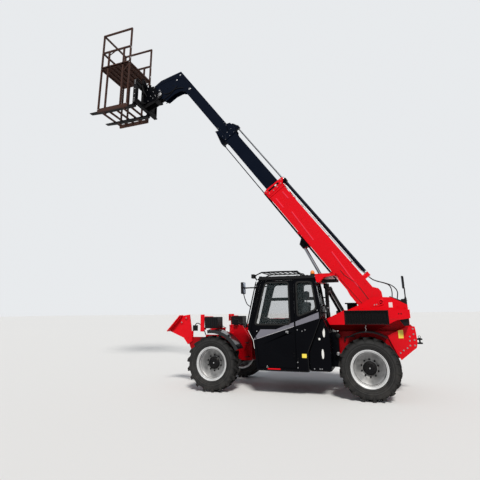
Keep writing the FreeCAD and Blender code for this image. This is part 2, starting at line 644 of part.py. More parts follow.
def cab():
    """A hollow cab with its door opening and windows cut."""
    shell = plate("cab_shell", "XZ", CAB_OUT, "cab_inner", "cab_outer")
    room = plate("cab_room", "XZ", CAB_IN, "cab_inner + cab_wall", "cab_outer - cab_wall")
    door_hole = plate("cab_door_hole", "XZ", DOOR_OUT, "cab_outer - cab_wall - 1", "cab_outer + 1")
    side_window = plate("cab_side_window", "XZ", REAR_PANE, "cab_outer - cab_wall - 1", "cab_outer + 1")
    right_front = plate("cab_right_front", "XZ", FRONT_PANE, "cab_inner - 1",
                        "cab_inner + cab_wall + 1")
    right_rear = plate("cab_right_rear", "XZ", REAR_PANE, "cab_inner - 1", "cab_inner + cab_wall + 1")
    screen = box("cab_screen", ("1880 * stretch", "2400 * stretch"),
                 ("cab_inner + 55", "cab_outer - 55"), ("1250", "2120"))
    rear = box("cab_rear_hole", ("700 * stretch", "1000 * stretch"),
               ("cab_inner + 60", "cab_outer - 60"), ("1640", "2110"))
    hollow = cut("cab_cut", shell, room, door_hole, side_window, right_front, right_rear, screen, rear)
    hinges = []
    for n, z in enumerate((("640", "699.7"), ("1840", "1899.7"))):
        hinges.append(rod(f"cab_hinge_{n}", "11", "Z", *z, HINGE))
        hinges.append(box(f"cab_leaf_{n}", ("post_x - 50", "post_x + 10"),
                          ("cab_outer + 1", "cab_outer + 8"), z))
        hinges.append(box(f"cab_leaf_foot_{n}", ("post_x - 50", "post_x - 2"),
                          ("cab_outer - 1", "cab_outer + 8"), z))
    publish("cab_frame", fuse("cab_whole", hollow, *hinges))


def cab_glass():
    gap = "0.3"
    middle = "cab_wall / 2"
    panes = [
        plate("pane_side", "XZ", inset(REAR_PANE, gap), f"cab_outer - {middle} - glass_wall",
              f"cab_outer - {middle}"),
        plate("pane_right_front", "XZ", inset(FRONT_PANE, gap), f"cab_inner + {middle}",
              f"cab_inner + {middle} + glass_wall"),
        plate("pane_right_rear", "XZ", inset(REAR_PANE, gap), f"cab_inner + {middle}",
              f"cab_inner + {middle} + glass_wall"),
        plate("pane_screen", "XZ",
              [("2236 * stretch", "1251"), ("2242 * stretch", "1251"), ("2019.5 * stretch", "2119"),
               ("2013.5 * stretch", "2119")], "cab_inner + 55.3", "cab_outer - 55.3"),
        plate("pane_rear", "XZ",
              [("818 * stretch", "1641"), ("824 * stretch", "1641"), ("888 * stretch", "2109"),
               ("882 * stretch", "2109")], "cab_inner + 60.3", "cab_outer - 60.3"),
    ]
    publish("cab_glass", group("cab_panes", *panes))


def cab_door():
    panel = plate("door_panel", "XZ", DOOR, "cab_outer - door_wall", "cab_outer")
    window = plate("door_window", "XZ", FRONT_PANE, "cab_outer - door_wall - 1", "cab_outer + 1")
    knuckles_z = (("700", "800"), ("1900", "2000"))
    pins = [rod(f"door_hinge_{n}", "11", "Z", z[0], z[1], HINGE) for n, z in enumerate(knuckles_z)]
    leaves = [box(f"door_leaf_{n}", ("post_x + door_gap + 2", "post_x + 60"),
                  ("cab_outer - 1", "cab_outer + 8"), z)
              for n, z in enumerate(knuckles_z)]
    publish("cab_door", fuse("door", cut("door_frame", panel, window), *pins, *leaves))
    pane = plate("door_pane", "XZ", inset(FRONT_PANE, "0.3"), "cab_outer - 22",
                 "cab_outer - 22 + glass_wall")
    publish("door_glass", pane)


def roof():
    top = plate("roof_shell", "XZ",
                [("2030 * stretch", "cab_top + 0.3"), ("2016 * stretch", "roof_top - 32"),
                 ("1949 * stretch", "roof_top"), ("914 * stretch", "roof_top - 12"),
                 ("866 * stretch", "roof_top - 42"), ("866 * stretch", "cab_top + 0.3")],
                "cab_inner - 8", "cab_outer + 8")
    publish("cab_roof", top)
    visor = plate("visor_shell", "XZ",
                  [("865.7 * stretch", "roof_top - 45"), ("865.7 * stretch", "roof_top + 10"),
                   ("470 * stretch", "roof_top + 10"), ("490 * stretch", "roof_top - 25"),
                   ("700 * stretch", "roof_top - 60"), ("790 * stretch", "roof_top - 150"),
                   ("840 * stretch", "roof_top - 150")], "cab_inner + 20", "cab_outer - 5")
    publish("roof_visor", visor)
    bars = []
    for n in range(2):
        middle = f"cab_inner + 60 + {n} * (cab_outer - cab_inner - 120)"
        bars.append(plate(f"guard_rail_{n}", "XZ",
                          [("1120 * stretch", "roof_top - 9.2"), ("1145 * stretch", "roof_top - 9"),
                           ("1225 * stretch", "2312"), ("1960 * stretch", "2318"),
                           ("2110 * stretch", "2262"),
                           ("2060 * stretch", "2180"), ("2080 * stretch", "2170"),
                           ("2140 * stretch", "2265"),
                           ("1965 * stretch", "2342"), ("1215 * stretch", "2336")],
                          f"{middle} - 12", f"{middle} + 12"))
    for n in range(8):
        x = f"{1240 + n * 100} * stretch"
        bars.append(box(f"guard_bar_{n}", (x, f"{x} + 24"), ("cab_inner + 50", "cab_outer - 50"),
                        ("2314", "2334")))
    publish("roof_guard", fuse("guard", *bars))


def screen_guard():
    """Upright bars that stand before the windscreen on two cross bars."""
    bars = []
    for n in range(7):
        y = f"cab_inner + 70 + {n} * (cab_outer - cab_inner - 140) / 6"
        bars.append(plate(f"screen_bar_{n}", "XZ",
                          [("2312 * stretch", "1230"), ("2328 * stretch", "1230"),
                           ("2102 * stretch", "2150"), ("2086 * stretch", "2150")],
                          f"{y} - 7", f"{y} + 7"))
    for n, (x, z) in enumerate((("2306 * stretch", "1250"), ("2106 * stretch", "2070"))):
        bars.append(box(f"screen_cross_{n}", (f"{x} - 12", f"{x} + 12"),
                        ("cab_inner + 50", "cab_outer - 50"), (z, f"{z} + 24")))
    for n in range(2):
        low = f"cab_inner + 50 + {n} * (cab_outer - cab_inner - 124)"
        bars.append(plate(f"screen_foot_{n}", "XZ",
                          [("2258.5 * stretch", "1250"), ("2310 * stretch", "1250"),
                           ("2305 * stretch", "1274"), ("2252.5 * stretch", "1274")], low,
                           f"{low} + 24"))
        bars.append(plate(f"screen_head_{n}", "XZ",
                          [("2047 * stretch", "2070"), ("2112 * stretch", "2070"),
                           ("2106 * stretch", "2094"), ("2041 * stretch", "2094")], low, f"{low} + 24"))
    publish("screen_guard", fuse("screen_bars", *bars))


def cab_inside():
    """The seat on its box and the dash with its steering wheel."""
    seat = [
        box("seat_base", ("1120 * stretch", "1480 * stretch"), ("cab_inner + 200", "cab_outer - 190"),
            ("cab_floor + cab_wall + 0.3", "980")),
        box("seat_cushion", ("1090 * stretch", "1560 * stretch"), ("cab_inner + 170", "cab_outer - 160"),
            ("979", "1100")),
        plate("seat_back", "XZ",
              [("1080 * stretch", "1095"), ("1200 * stretch", "1095"), ("1090 * stretch", "1760"),
               ("990 * stretch", "1760")], "cab_inner + 180", "cab_outer - 170"),
        plate("seat_head", "XZ",
              [("1010 * stretch", "1755"), ("1085 * stretch", "1755"), ("1065 * stretch", "1950"),
               ("985 * stretch", "1950")], "cab_inner + 270", "cab_outer - 260"),
    ]
    publish("seat", fuse("seat_whole", *seat))
    column = plate("dash_column", "XZ",
                   [("1890 * stretch", "cab_floor + cab_wall + 0.3"),
                    ("2040 * stretch", "cab_floor + cab_wall + 0.3"), ("2075 * stretch", "1010"),
                    ("2150 * stretch", "1215"), ("1990 * stretch", "1300"), ("1900 * stretch", "1180")],
                   "cab_inner + 180", "cab_outer - 170")
    stalk = doc.addObject("Part::Cylinder", "wheel_stalk")
    ring = doc.addObject("Part::Torus", "wheel_ring")
    spoke = doc.addObject("Part::Box", "wheel_spoke")
    bind(stalk, Radius="20", Height="160")
    bind(ring, Radius1="180", Radius2="14")
    bind(spoke, Length="356", Width="36", Height="16")
    lean = "rotation(vector(0; 1; 0); steer_lean)"
    for item, offset in ((stalk, "vector(0; 0; -150)"), (ring, "vector(0; 0; 0)"),
                         (spoke, "vector(-178; -18; -8)")):
        item.setExpression("Placement", cells(
            f"placement(vector(steer_x; steer_y; steer_z) + {lean} * {offset}; {lean})"))
    publish("dash_and_wheel", fuse("dash", column, stalk, ring, spoke))


def cab_trim():
    at = ("945 * stretch", "cab_outer - 230", "0")
    lamp = rod("beacon_dome", "45", "Z", "roof_top + 40", "roof_top + 110", at)
    foot = rod("beacon_foot", "50", "Z", "roof_top - 11", "roof_top + 41", at)
    publish("beacon", fuse("beacon_whole", lamp, foot))
    glass = plate("mirror_glass", "XZ",
                  [("2345 * stretch", "1905"), ("2385 * stretch", "1910"), ("2385 * stretch", "2138"),
                   ("2345 * stretch", "2138")], "cab_outer - 125", "cab_outer + 35")
    arm = box("mirror_arm", ("2080 * stretch", "2355 * stretch"), ("cab_outer - 12", "cab_outer + 30"),
              ("2010", "2034"))
    foot = box("mirror_foot", ("2064.6 * stretch", "2095 * stretch"),
               ("cab_outer - 50", "cab_outer + 14"),
               ("2000", "2044"))
    publish("cab_mirror", fuse("mirror_whole", glass, arm, foot))
    stalk = rod("tail_stalk", "12", "Z", "1764.3", "1980", ("-765", "185", "0"))
    arm = box("tail_mirror_arm", ("-775", "-735"), ("173", "197"), ("1960", "1990"))
    head = box("tail_mirror_head", ("-756", "-728"), ("110", "270"), ("1985", "2205"))
    publish("tail_mirror", fuse("tail_mirror_whole", stalk, arm, head))


def headlamps():
    housing = box("lamp_housing", ("wheelbase - 80", "wheelbase + 200"), ("650", "930"),
                  ("wheel_radius + 653.3 + 24", "1440"))
    lens = rod("lamp_lens", "95", "X", "wheelbase + 195", "wheelbase + 215", ("0", "790", "1335"))
    publish("headlamps", both("lamp_pair", fuse("lamp", housing, lens)))


# Boom
OUTER = [  # s, n
    ("-110", "-100"), ("-110", "40"), ("-60", "outer_top + 12"), ("60", "outer_top + 17"),
    ("150", "outer_top + 70"), ("240", "outer_top + 70"), ("330", "outer_top"),
    ("outer_length", "outer_top"), ("outer_length", "outer_low"), ("600", "outer_low"),
    ("480", "outer_low - 25"), ("90", "outer_low - 25"), ("-60", "outer_low + 117"),
]


def wear_pads(name, s, half, low, high, reach):
    """Four blocks round a section between s[0] and s[1]; reach is the block's height each way."""
    side, top, bottom = reach
    pads = []
    for n in (1, -1):
        y = (f"({half})", f"({half}) + ({side})")
        if n < 0:
            y = (f"0 - ({half}) - ({side})", f"0 - ({half})")
        pads.append(box(f"{name}_side_{n + 1}", s, y, (f"({low}) + 60", f"({high}) - 60")))
    pads.append(box(f"{name}_top", s, (f"30 - ({half})", f"({half}) - 30"),
                    (high, f"({high}) + ({top})")))
    pads.append(box(f"{name}_low", s, (f"30 - ({half})", f"({half}) - 30"),
                    (f"({low}) - ({bottom})", low)))
    return pads


def boom_outer():
    side = plate("outer_solid", "XZ", OUTER, "0 - outer_half", "outer_half")
    wall_in = ("boom_wall - outer_half", "outer_half - boom_wall")
    bore = plate("outer_bore", "XZ",
                 [("-70", "-95"), ("-70", "outer_top - 40"), ("-40", "outer_top - boom_wall - 2"),
                  ("outer_length + 1", "outer_top - boom_wall - 2"),
                  ("outer_length + 1", "outer_low + boom_wall + 2"),
                  ("80", "outer_low + boom_wall + 2"),
                  ("-45", "outer_low + 130")], *wall_in)
    collar = box("outer_collar", ("outer_length - 210", "outer_length"),
                 ("-15 - outer_half", "outer_half + 15"),
                 ("outer_low - 15", "outer_top + 17"))
    ram_seat = box("outer_ram_seat", ("outer_length - 90", "outer_length - 30"), ("-45", "45"),
                   ("outer_top", "ram_level + 45"))
    ram_foot = box("outer_ram_foot", ("550", "640"), ("-45", "45"), ("outer_top - 1", "ram_level + 40"))
    boss = rod("outer_boss", "pivot_radius + 45", "Y", "2 - chassis_half + plate_wall",
               "chassis_half - plate_wall - 2")
    lugs = []
    for n, y in enumerate((("47", "69"), ("-69", "-47"))):
        lugs.append(plate(f"outer_lug_{n}", "XZ",
                          [("lift_eye_s - 110", "outer_low + 1"), ("lift_eye_s + 190", "outer_low + 1"),
                           ("lift_eye_s + 62", "lift_eye_n - 55"),
                           ("lift_eye_s - 62", "lift_eye_n - 55")], *y))
        head = (y[0], f"{y[1]} + 10") if n == 0 else (f"{y[0]} - 10", y[1])
        lugs.append(rod(f"outer_lug_pin_{n}", "lift_rod", "Y", *head,
                        ("lift_eye_s", "0", "lift_eye_n")))
    guides = []
    for n, y in enumerate(("guide_half", "0 - guide_half")):
        tube = rod(f"guide_tube_{n}", "15", "X", "1000", "outer_length", ("0", y, "guide_level"))
        for m, s in enumerate(("1050", "2200", "outer_length - 60")):
            guides.append(box(f"guide_clamp_{n}_{m}", (s, f"{s} + 50"), (f"{y} - 20", f"{y} + 20"),
                              ("guide_level", "outer_low + 1")))
        guides.append(tube)
    bores = [rod(f"guide_bore_{n}", "11", "X", "990", "outer_length + 1", ("0", y, "guide_level"))
             for n, y in enumerate(("guide_half", "0 - guide_half"))]
    ram_bore = rod("outer_ram_bore", "ram_radius + 0.3", "X", "640", "outer_length",
                   ("0", "0", "ram_level"))
    pivot_bore = rod("outer_pivot_bore", "pivot_radius + 0.5", "Y", "-300", "300")
    shell = cut("outer_shell", fuse("outer_walls", side, collar), bore)
    body = fuse("outer_whole", shell, ram_seat, ram_foot, boss, *lugs, *guides)
    tube = cut("outer_tube", body, ram_bore, pivot_bore, *bores)
    pads = wear_pads("outer_pad", ("outer_length - 100", "outer_length - 6"), "middle_half + pad_gap",
                     "middle_low - pad_gap", "middle_top + pad_gap",
                     ("outer_half - boom_wall - middle_half - pad_gap + 0.5",
                      "outer_top - boom_wall - 2 - middle_top - pad_gap + 0.5",
                      "middle_low - pad_gap - outer_low - boom_wall - 2 + 0.5"))
    on_boom("boom_outer", fuse("outer_done", tube, *pads))


def extension_ram():
    barrel = rod("ram_barrel", "ram_radius", "X", "640.3", "outer_length - 20", ("0", "0", "ram_level"))
    bore = rod("ram_bore", "ram_rod + 3", "X", "700", "outer_length", ("0", "0", "ram_level"))
    on_boom("extension_barrel", cut("ram_tube", barrel, bore))
    on_boom("extension_rod", rod("ram_piston", "ram_rod", "X", "outer_length - 150",
                                 "middle_rear + middle_length + 79.7", ("0", "0", "ram_level")))


def section(name, rear, length, half, low, high, wall):
    """A square tube of the boom, open at both ends."""
    front = f"({rear}) + ({length})"
    tube = box(name + "_solid", (rear, front), (f"0 - {half}", half), (low, high))
    bore = box(name + "_bore", (f"({rear}) - 1", f"{front} + 1"),
               (f"{wall} - {half}", f"{half} - {wall}"),
               (f"({low}) + {wall}", f"({high}) - {wall}"))
    return cut(name, tube, bore)


def boom_middle():
    tube = section("middle_tube", "middle_rear", "middle_length", "middle_half", "middle_low",
                   "middle_top",
                   "boom_wall")
    front = "middle_rear + middle_length"
    frame = cut("middle_frame",
                box("middle_frame_solid", (f"{front} - 20", f"{front} + 160"),
                    ("-17 - middle_half", "middle_half + 17"), ("middle_low - 15", "middle_top + 12")),
                box("middle_frame_bore", (f"{front} - 30", f"{front} + 170"),
                    ("boom_wall - middle_half", "middle_half - boom_wall"),
                    ("middle_low + boom_wall", "middle_top - boom_wall")))
    top = box("middle_ram_seat", (f"{front} + 80", f"{front} + 150"), ("-45", "45"),
              ("middle_top", "ram_level + 50"))
    rib = plate("middle_ram_rib", "XZ",
                [(f"{front} + 140", "middle_top + 1"), (f"{front} + 140", "ram_level + 45"),
                 (f"{front} + 305", "middle_top + 100"), (f"{front} + 350", "middle_top + 12"),
                 (f"{front} + 350", "middle_top + 1")], "-30", "30")
    low = plate("middle_guide_seat", "XZ",
                [(f"{front} - 10", "middle_low - 1"), (f"{front} + 400", "inner_low - 8"),
                 (f"{front} + 400", "inner_low - 90"), (f"{front} + 60", "guide_level - 30"),
                 (f"{front} - 10", "guide_level - 30")], "-60", "60")
    cross = box("middle_guide_bar", (f"{front}", f"{front} + 50"),
                ("-20 - guide_half", "guide_half + 20"),
                ("guide_level - 20", "guide_level + 20"))
    rods = [rod(f"middle_guide_{n}", "8", "X", "outer_length - 250", f"{front} + 1",
                ("0", y, "guide_level"))
            for n, y in enumerate(("guide_half", "0 - guide_half"))]
    rear_pads = wear_pads("middle_pad", ("middle_rear + 10", "middle_rear + 110"), "middle_half - 0.5",
                          "middle_low + 0.5", "middle_top - 0.5",
                          ("outer_half - boom_wall - middle_half",
                           "outer_top - boom_wall - 2 - middle_top",
                           "middle_low - outer_low - boom_wall - 2"))
    head_pads = wear_pads("middle_head_pad", (f"{front} + 60", f"{front} + 154"),
                          "inner_half + pad_gap",
                          "inner_low - pad_gap", "inner_top + pad_gap",
                          ("middle_half - boom_wall - inner_half - pad_gap + 0.5",
                           "middle_top - boom_wall - inner_top - pad_gap + 0.5",
                           "inner_low - pad_gap - middle_low - boom_wall + 0.5"))
    on_boom("boom_middle", fuse("middle", tube, frame, top, rib, low, cross, *rods, *rear_pads,
                                *head_pads))


HEAD = [  # s, n of the head's side plates, from the tube's corner round to its underside
    ("inner_rear + inner_length - 700", "inner_low + 20"),
    ("inner_rear + inner_length - 700", "inner_top - 10"),
    ("inner_rear + inner_length", "inner_top"), ("head_reach + 225.5", "-230"),
    ("head_reach + 380", "head_drop + 280"),
    ("head_reach + 395", "head_drop + 20"), ("head_reach + 110", "head_drop - 60"),
    ("head_reach + 40", "head_drop - 110"), ("head_reach - 60", "head_drop - 105"),
    ("head_reach - 130", "head_drop - 30"), ("head_reach - 310", "head_drop + 40"),
    ("head_reach - 331", "head_drop + 330"), ("head_reach - 411", "head_drop + 538"),
    ("head_reach - 520", "inner_low"),
]


def boom_inner():
    """The inner section, whose side plates run on into a head that bends forward and down."""
    tube = section("inner_tube", "inner_rear", "inner_length - 620", "inner_half", "inner_low",
                   "inner_top",
                   "boom_wall")
    roof_plate = plate("inner_roof", "XZ",
                       [("inner_rear + inner_length - 640", "inner_top - head_wall"),
                        ("inner_rear + inner_length - 640", "inner_top"),
                        ("inner_rear + inner_length", "inner_top"), ("head_reach + 225.5", "-230"),
                        ("head_reach + 380", "head_drop + 280"),
                        ("head_reach + 380 - head_wall", "head_drop + 280"),
                        ("head_reach + 225.5 - head_wall", "-230"),
                        ("inner_rear + inner_length - head_wall + 2", "inner_top - head_wall")],
                       "1 - inner_half", "inner_half - 1")
    cheeks = [plate(f"head_cheek_{n}", "XZ", HEAD, *y)
              for n, y in enumerate((("inner_half - head_wall", "inner_half"),
                                     ("0 - inner_half", "head_wall - inner_half")))]
    bore = rod("head_bore", "head_pin + 0.5", "Y", "-120", "120", ("head_reach", "0", "head_drop"))
    foot_pin = rod("tilt_foot_pin", "22", "Y", "-4 - inner_half", "inner_half + 4",
                   ("tilt_foot", "0", "tilt_level"))
    pads = wear_pads("inner_pad", ("inner_rear + 10", "inner_rear + 110"), "inner_half - 0.5",
                     "inner_low + 0.5", "inner_top - 0.5",
                     ("middle_half - boom_wall - inner_half", "middle_top - boom_wall - inner_top",
                      "inner_low - middle_low - boom_wall"))
    on_boom("boom_inner", cut("inner_done", fuse("inner", tube, roof_plate, *cheeks, foot_pin, *pads),
                              bore))


def carriage():
    """Fork bars on two outer plates and an inner pair of lugs that the tilt ram pushes."""
    x0, z0 = size("head_x"), size("head_z")
    face = "fork_face - 86"
    bars = [box(f"fork_bar_{n}", (face, "fork_face"), ("0 - bar_half", "bar_half"),
                (z, f"{z} + bar_height"))
            for n, z in enumerate(("bar_low", "bar_high"))]
    ends = [box(f"carriage_end_{n}", (face, "fork_face - 6"), y,
                ("bar_low - 20", "bar_high + bar_height + 15"))
            for n, y in enumerate((("bar_half - 25", "bar_half"), ("0 - bar_half", "25 - bar_half")))]
    posts = [box(f"carriage_post_{n}", (face, "fork_face - 10"), y, ("bar_low", "head_z + 600"))
             for n, y in enumerate((("160", "185"), ("-185", "-160")))]
    lugs = []
    for n, (near, far) in enumerate((("inner_half + 8", "inner_half + 33"),
                                     ("-33 - inner_half", "-8 - inner_half"))):
        lugs.append(plate(f"carriage_lug_{n}", "XZ",
                          [(f"{x0 - 75:.1f}", f"{z0 - 60:.1f}"), (f"{x0 - 20:.1f}", f"{z0 - 95:.1f}"),
                           (f"{x0 + 180:.1f}", f"{z0 - 210:.1f}"), (face, "bar_low"),
                           (face, "bar_high + bar_height"), (f"{x0 + 330:.1f}", f"{z0 + 120:.1f}"),
                           (f"{x0 + 20:.1f}", f"{z0 + 85:.1f}"), (f"{x0 - 60:.1f}", f"{z0 + 60:.1f}")],
                          near, far))
    arms = []
    for n, y in enumerate((("42", "64"), ("-64", "-42"))):
        arms.append(plate(f"tilt_arm_{n}", "XZ",
                          [(f"{x0 - 65:.1f}", f"{z0 - 40:.1f}"), (f"{x0 + 20:.1f}", f"{z0 - 205:.1f}"),
                           (f"{x0 + 160:.1f}", f"{z0 - 205:.1f}"), (f"{x0 + 75:.1f}", f"{z0 + 60:.1f}"),
                           (f"{x0} + tilt_arm_x + 42", f"{z0} + tilt_arm_z + 30"),
                           (f"{x0} + tilt_arm_x - 42", f"{z0} + tilt_arm_z + 30")], *y))
    web = box("carriage_web", (f"{x0 + 20:.1f}", f"{x0 + 160:.1f}"),
              ("-20 - inner_half", "inner_half + 20"),
              (f"{z0 - 205:.1f}", f"{z0 - 160:.1f}"))
    pin = rod("carriage_pin", "head_pin", "Y", "-38 - inner_half", "inner_half + 38",
              (f"{x0:.3f}", "0", f"{z0:.3f}"))
    publish("carriage", fuse("carriage_whole", *bars, *ends, *posts, *lugs, *arms, web, pin))


def forks():
    blades = []
    for side, y in (("left", "fork_left"), ("right", "fork_right")):
        blades.append(plate(f"fork_{side}", "XZ",
                            [("fork_face + 0.3", "fork_top - fork_wall"),
                             ("fork_tip - 500", "fork_top - fork_wall"),
                             ("fork_tip", "fork_top - 16"), ("fork_tip", "fork_top"),
                             ("fork_face + fork_wall + 25", "fork_top"),
                             ("fork_face + fork_wall", "fork_top + 25"),
                             ("fork_face + fork_wall", "bar_high + bar_height + 12"),
                             ("fork_face - 60", "bar_high + bar_height + 12"),
                             ("fork_face - 60", "bar_high + bar_height + 0.3"),
                             ("fork_face + 0.3", "bar_high + bar_height + 0.3")],
                            f"{y} - fork_width / 2", f"{y} + fork_width / 2"))
    publish("forks", group("fork_pair", *blades))


def platform():
    """A welded cage on the forks: base frame, four corner posts, a deck at mid height and rails."""
    base = "fork_top + 0.3"
    pieces = []
    for n, y in enumerate(("cage_half", "cage_bar - cage_half")):
        pieces.append(box(f"cage_sill_{n}", ("cage_rear", "cage_front"), (f"{y} - cage_bar", y),
                          ("fork_top - 65", "fork_top + cage_bar + 0.3")))
        for m, x in enumerate(("cage_rear", "cage_rear + 235", "cage_front - 235 - cage_bar",
                               "cage_front - cage_bar")):
            top = "cage_top" if m in (0, 3) else "cage_rail"
            pieces.append(box(f"cage_post_{n}_{m}", (x, f"{x} + cage_bar"), (f"{y} - cage_bar", y),
                              (base, top)))
        for m, z in enumerate(("cage_rail", "cage_top")):
            pieces.append(box(f"cage_rail_{n}_{m}", ("cage_rear", "cage_front"), (f"{y} - cage_bar", y),
                              (f"{z} - cage_bar", z)))
    for n in range(5):
        x = f"cage_rear + {n} * (cage_front - cage_rear - cage_bar) / 4"
        pieces.append(box(f"cage_sleeper_{n}", (x, f"{x} + cage_bar"), ("0 - cage_half", "cage_half"),
                          (base, f"{base} + cage_bar")))
    for n, z in enumerate(("cage_rail", "cage_top")):
        pieces.append(box(f"cage_front_rail_{n}", ("cage_front - cage_bar", "cage_front"),
                          ("0 - cage_half", "cage_half"), (f"{z} - cage_bar", z)))
    pieces.append(box("cage_floor", ("cage_rear", "cage_front"), ("0 - cage_half", "cage_half"),
                      ("cage_deck - 40", "cage_deck")))
    publish("work_platform", fuse("cage", *pieces))


# Hoses
HOSES = {  # x, z of each hose's route from the ram's foot to the tail cover
    "boom_hose_left": ((-109.3, 2246.63), (-150.05, 2190.95), (-262, 2138), (-440, 2090), (-570, 2028),
                       (-645, 1925),
                       (-628, 1800), (-602, 1702)),
    "boom_hose_right": ((-109.3, 2246.63), (-150.05, 2190.95), (-262, 2138), (-400, 2100), (-508, 2050),
                        (-540, 1925),
                        (-525, 1800), (-520, 1700)),
}
ARC_SHARE = 0.45


def hose(label, route, side):
    """A round hose along straight runs joined by tangent arcs, as large as the runs allow."""
    points = [Vector(x, side, z) for x, z in route]
    radius = size("hose_radius")
    edges = []
    last = points[0]
    for before, here, after in zip(points, points[1:], points[2:]):
        back = (before - here).normalize()
        ahead = (after - here).normalize()
        run = min((before - here).Length, (after - here).Length)
        half = (math.pi - back.getAngle(ahead)) / 2
        reach = ARC_SHARE * run
        bend = reach / math.tan(half)
        start = here + back * reach
        end = here + ahead * reach
        inward = (back + ahead).normalize()
        middle = here + inward * (bend / math.cos(half) - bend)
        edges.append(Part.LineSegment(last, start).toShape())
        edges.append(Part.Arc(start, middle, end).toShape())
        last = end
        print(label, "bend radius", round(bend, 1))
    edges.append(Part.LineSegment(last, points[-1]).toShape())
    path = Part.Wire(edges)
    ring = Part.Wire([Part.makeCircle(radius, points[0], points[1] - points[0])])
    tube = path.makePipeShell([ring], True, False)
    expected = math.pi * radius ** 2 * path.Length
    print(label, "length", round(path.Length, 1), "volume share", round(tube.Volume / expected, 4))
    item = doc.addObject("Part::Feature", label + "_tube")
    item.Shape = tube
    publish(label, item)


def hoses():
    for label, side in (("boom_hose_left", "hose_side"), ("boom_hose_right", "0 - hose_side")):
        hose(label, HOSES[label], size(side))


# Lift and tilt rams
def aimed(label, item, foot, x_size, z_size):
    """A ram drawn along X from its foot, published there and turned to its slope at rest."""
    return publish(label, item, foot[0], "0", foot[1], f"atan2({z_size}; {x_size})")


def lift_ram():
    run_x = "(pivot_x + lift_eye_s * cos(boom_angle) - lift_eye_n * sin(boom_angle) - lift_foot_x)"
    run_z = "(pivot_z + lift_eye_s * sin(boom_angle) + lift_eye_n * cos(boom_angle) - lift_foot_z)"
    length = f"sqrt({run_x} * {run_x} + {run_z} * {run_z})"
    foot = ("lift_foot_x", "lift_foot_z")
    solid = fuse("lift_barrel_solid", rod("lift_barrel_eye", "lift_rod + 35", "Y", "-50", "50"),
                 rod("lift_barrel_body", "lift_barrel", "X", "20", "lift_body"))
    holes = group("lift_barrel_holes", rod("lift_barrel_pin_hole", "lift_rod + 0.5", "Y", "-80", "80"),
                  rod("lift_barrel_bore", "lift_rod + 3", "X", "110", "lift_body - 60"),
                  rod("lift_barrel_gland", "lift_rod + 0.3", "X", "lift_body - 61", "lift_body + 1"))
    aimed("lift_barrel", cut("lift_barrel_done", solid, holes), foot, run_x, run_z)
    tube = rod("lift_rod_body", "lift_rod", "X", f"{length} - lift_body + 60", f"{length} - 20")
    eye = rod("lift_rod_eye", "lift_rod + 9", "Y", "-42", "42", (length, "0", "0"))
    aimed("lift_rod", fuse("lift_rod_done", tube, eye), foot, run_x, run_z)


def tilt_ram():
    foot_x = "(pivot_x + tilt_foot * cos(boom_angle) - tilt_level * sin(boom_angle))"
    foot_z = "(pivot_z + tilt_foot * sin(boom_angle) + tilt_level * cos(boom_angle))"
    run_x = f"(head_x + tilt_arm_x - {foot_x})"
    run_z = f"(head_z + tilt_arm_z - {foot_z})"
    length = f"sqrt({run_x} * {run_x} + {run_z} * {run_z})"
    solid = fuse("tilt_barrel_solid", rod("tilt_barrel_eye", "tilt_barrel + 4", "Y", "-30", "30"),
                 rod("tilt_barrel_body", "tilt_barrel", "X", "30", "590"))
    holes = group("tilt_barrel_holes", rod("tilt_barrel_pin_hole", "22.5", "Y", "-40", "40"),
                  rod("tilt_barrel_bore", "tilt_rod + 3", "X", "60", "560"),
                  rod("tilt_barrel_gland", "tilt_rod + 0.3", "X", "559", "591"))
    aimed("tilt_barrel", cut("tilt_barrel_done", solid, holes), (foot_x, foot_z), run_x, run_z)
    body = rod("tilt_rod_body", "tilt_rod", "X", f"{length} - 628", f"{length} - 20")
    eye = rod("tilt_rod_eye", "tilt_rod + 15", "Y", "-36", "36", (length, "0", "0"))
    aimed("tilt_rod", fuse("tilt_rod_done", body, eye), (foot_x, foot_z), run_x, run_z)


def check_and_write():
    doc.recompute()
    broken = [item.Name for item in doc.Objects if "Invalid" in item.State or "Error" in item.State]
    if broken:
        raise RuntimeError(f"not computed: {broken}")
    os.makedirs("parts", exist_ok=True)
    for item in PARTS:
        if item.Shape.isNull() or not item.Shape.isValid():
            raise RuntimeError(f"no valid shape: {item.Label}")
        item.Shape.exportStep(f"parts/{item.Label}.step")
        print(item.Label, len(item.Shape.Solids), round(item.Shape.Volume / 1e6, 2),
              item.Shape.BoundBox)


wheels()
axles()
knuckles()
fenders()
chassis()
nose()
rear_body()
counterweight()
tail_cover()
engine_bay()
fuel_tank()
cab()
cab_glass()
cab_door()
roof()
screen_guard()
cab_inside()
cab_trim()
headlamps()
boom_outer()
extension_ram()
boom_middle()
boom_inner()
carriage()
forks()
platform()
hoses()
lift_ram()
tilt_ram()
check_and_write()
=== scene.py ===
"""Looks of a telehandler with a raised boom: finishes, fittings, hoses, lamps and the studio round it."""
import math

import bpy
import bmesh
from mathutils import Matrix, Vector


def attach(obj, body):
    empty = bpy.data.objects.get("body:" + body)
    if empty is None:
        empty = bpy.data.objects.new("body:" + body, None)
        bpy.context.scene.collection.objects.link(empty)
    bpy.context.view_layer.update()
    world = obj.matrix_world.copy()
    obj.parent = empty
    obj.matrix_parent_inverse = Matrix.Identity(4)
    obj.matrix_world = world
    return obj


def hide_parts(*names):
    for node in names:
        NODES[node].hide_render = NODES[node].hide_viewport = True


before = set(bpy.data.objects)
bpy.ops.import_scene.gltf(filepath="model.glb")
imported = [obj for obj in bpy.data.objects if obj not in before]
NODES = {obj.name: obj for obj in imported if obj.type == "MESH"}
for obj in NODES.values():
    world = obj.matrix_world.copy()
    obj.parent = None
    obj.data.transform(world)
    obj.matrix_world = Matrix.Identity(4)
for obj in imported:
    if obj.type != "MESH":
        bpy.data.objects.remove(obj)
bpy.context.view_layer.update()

REAR_AXLE_X = -3.175
WHEELBASE = 3058
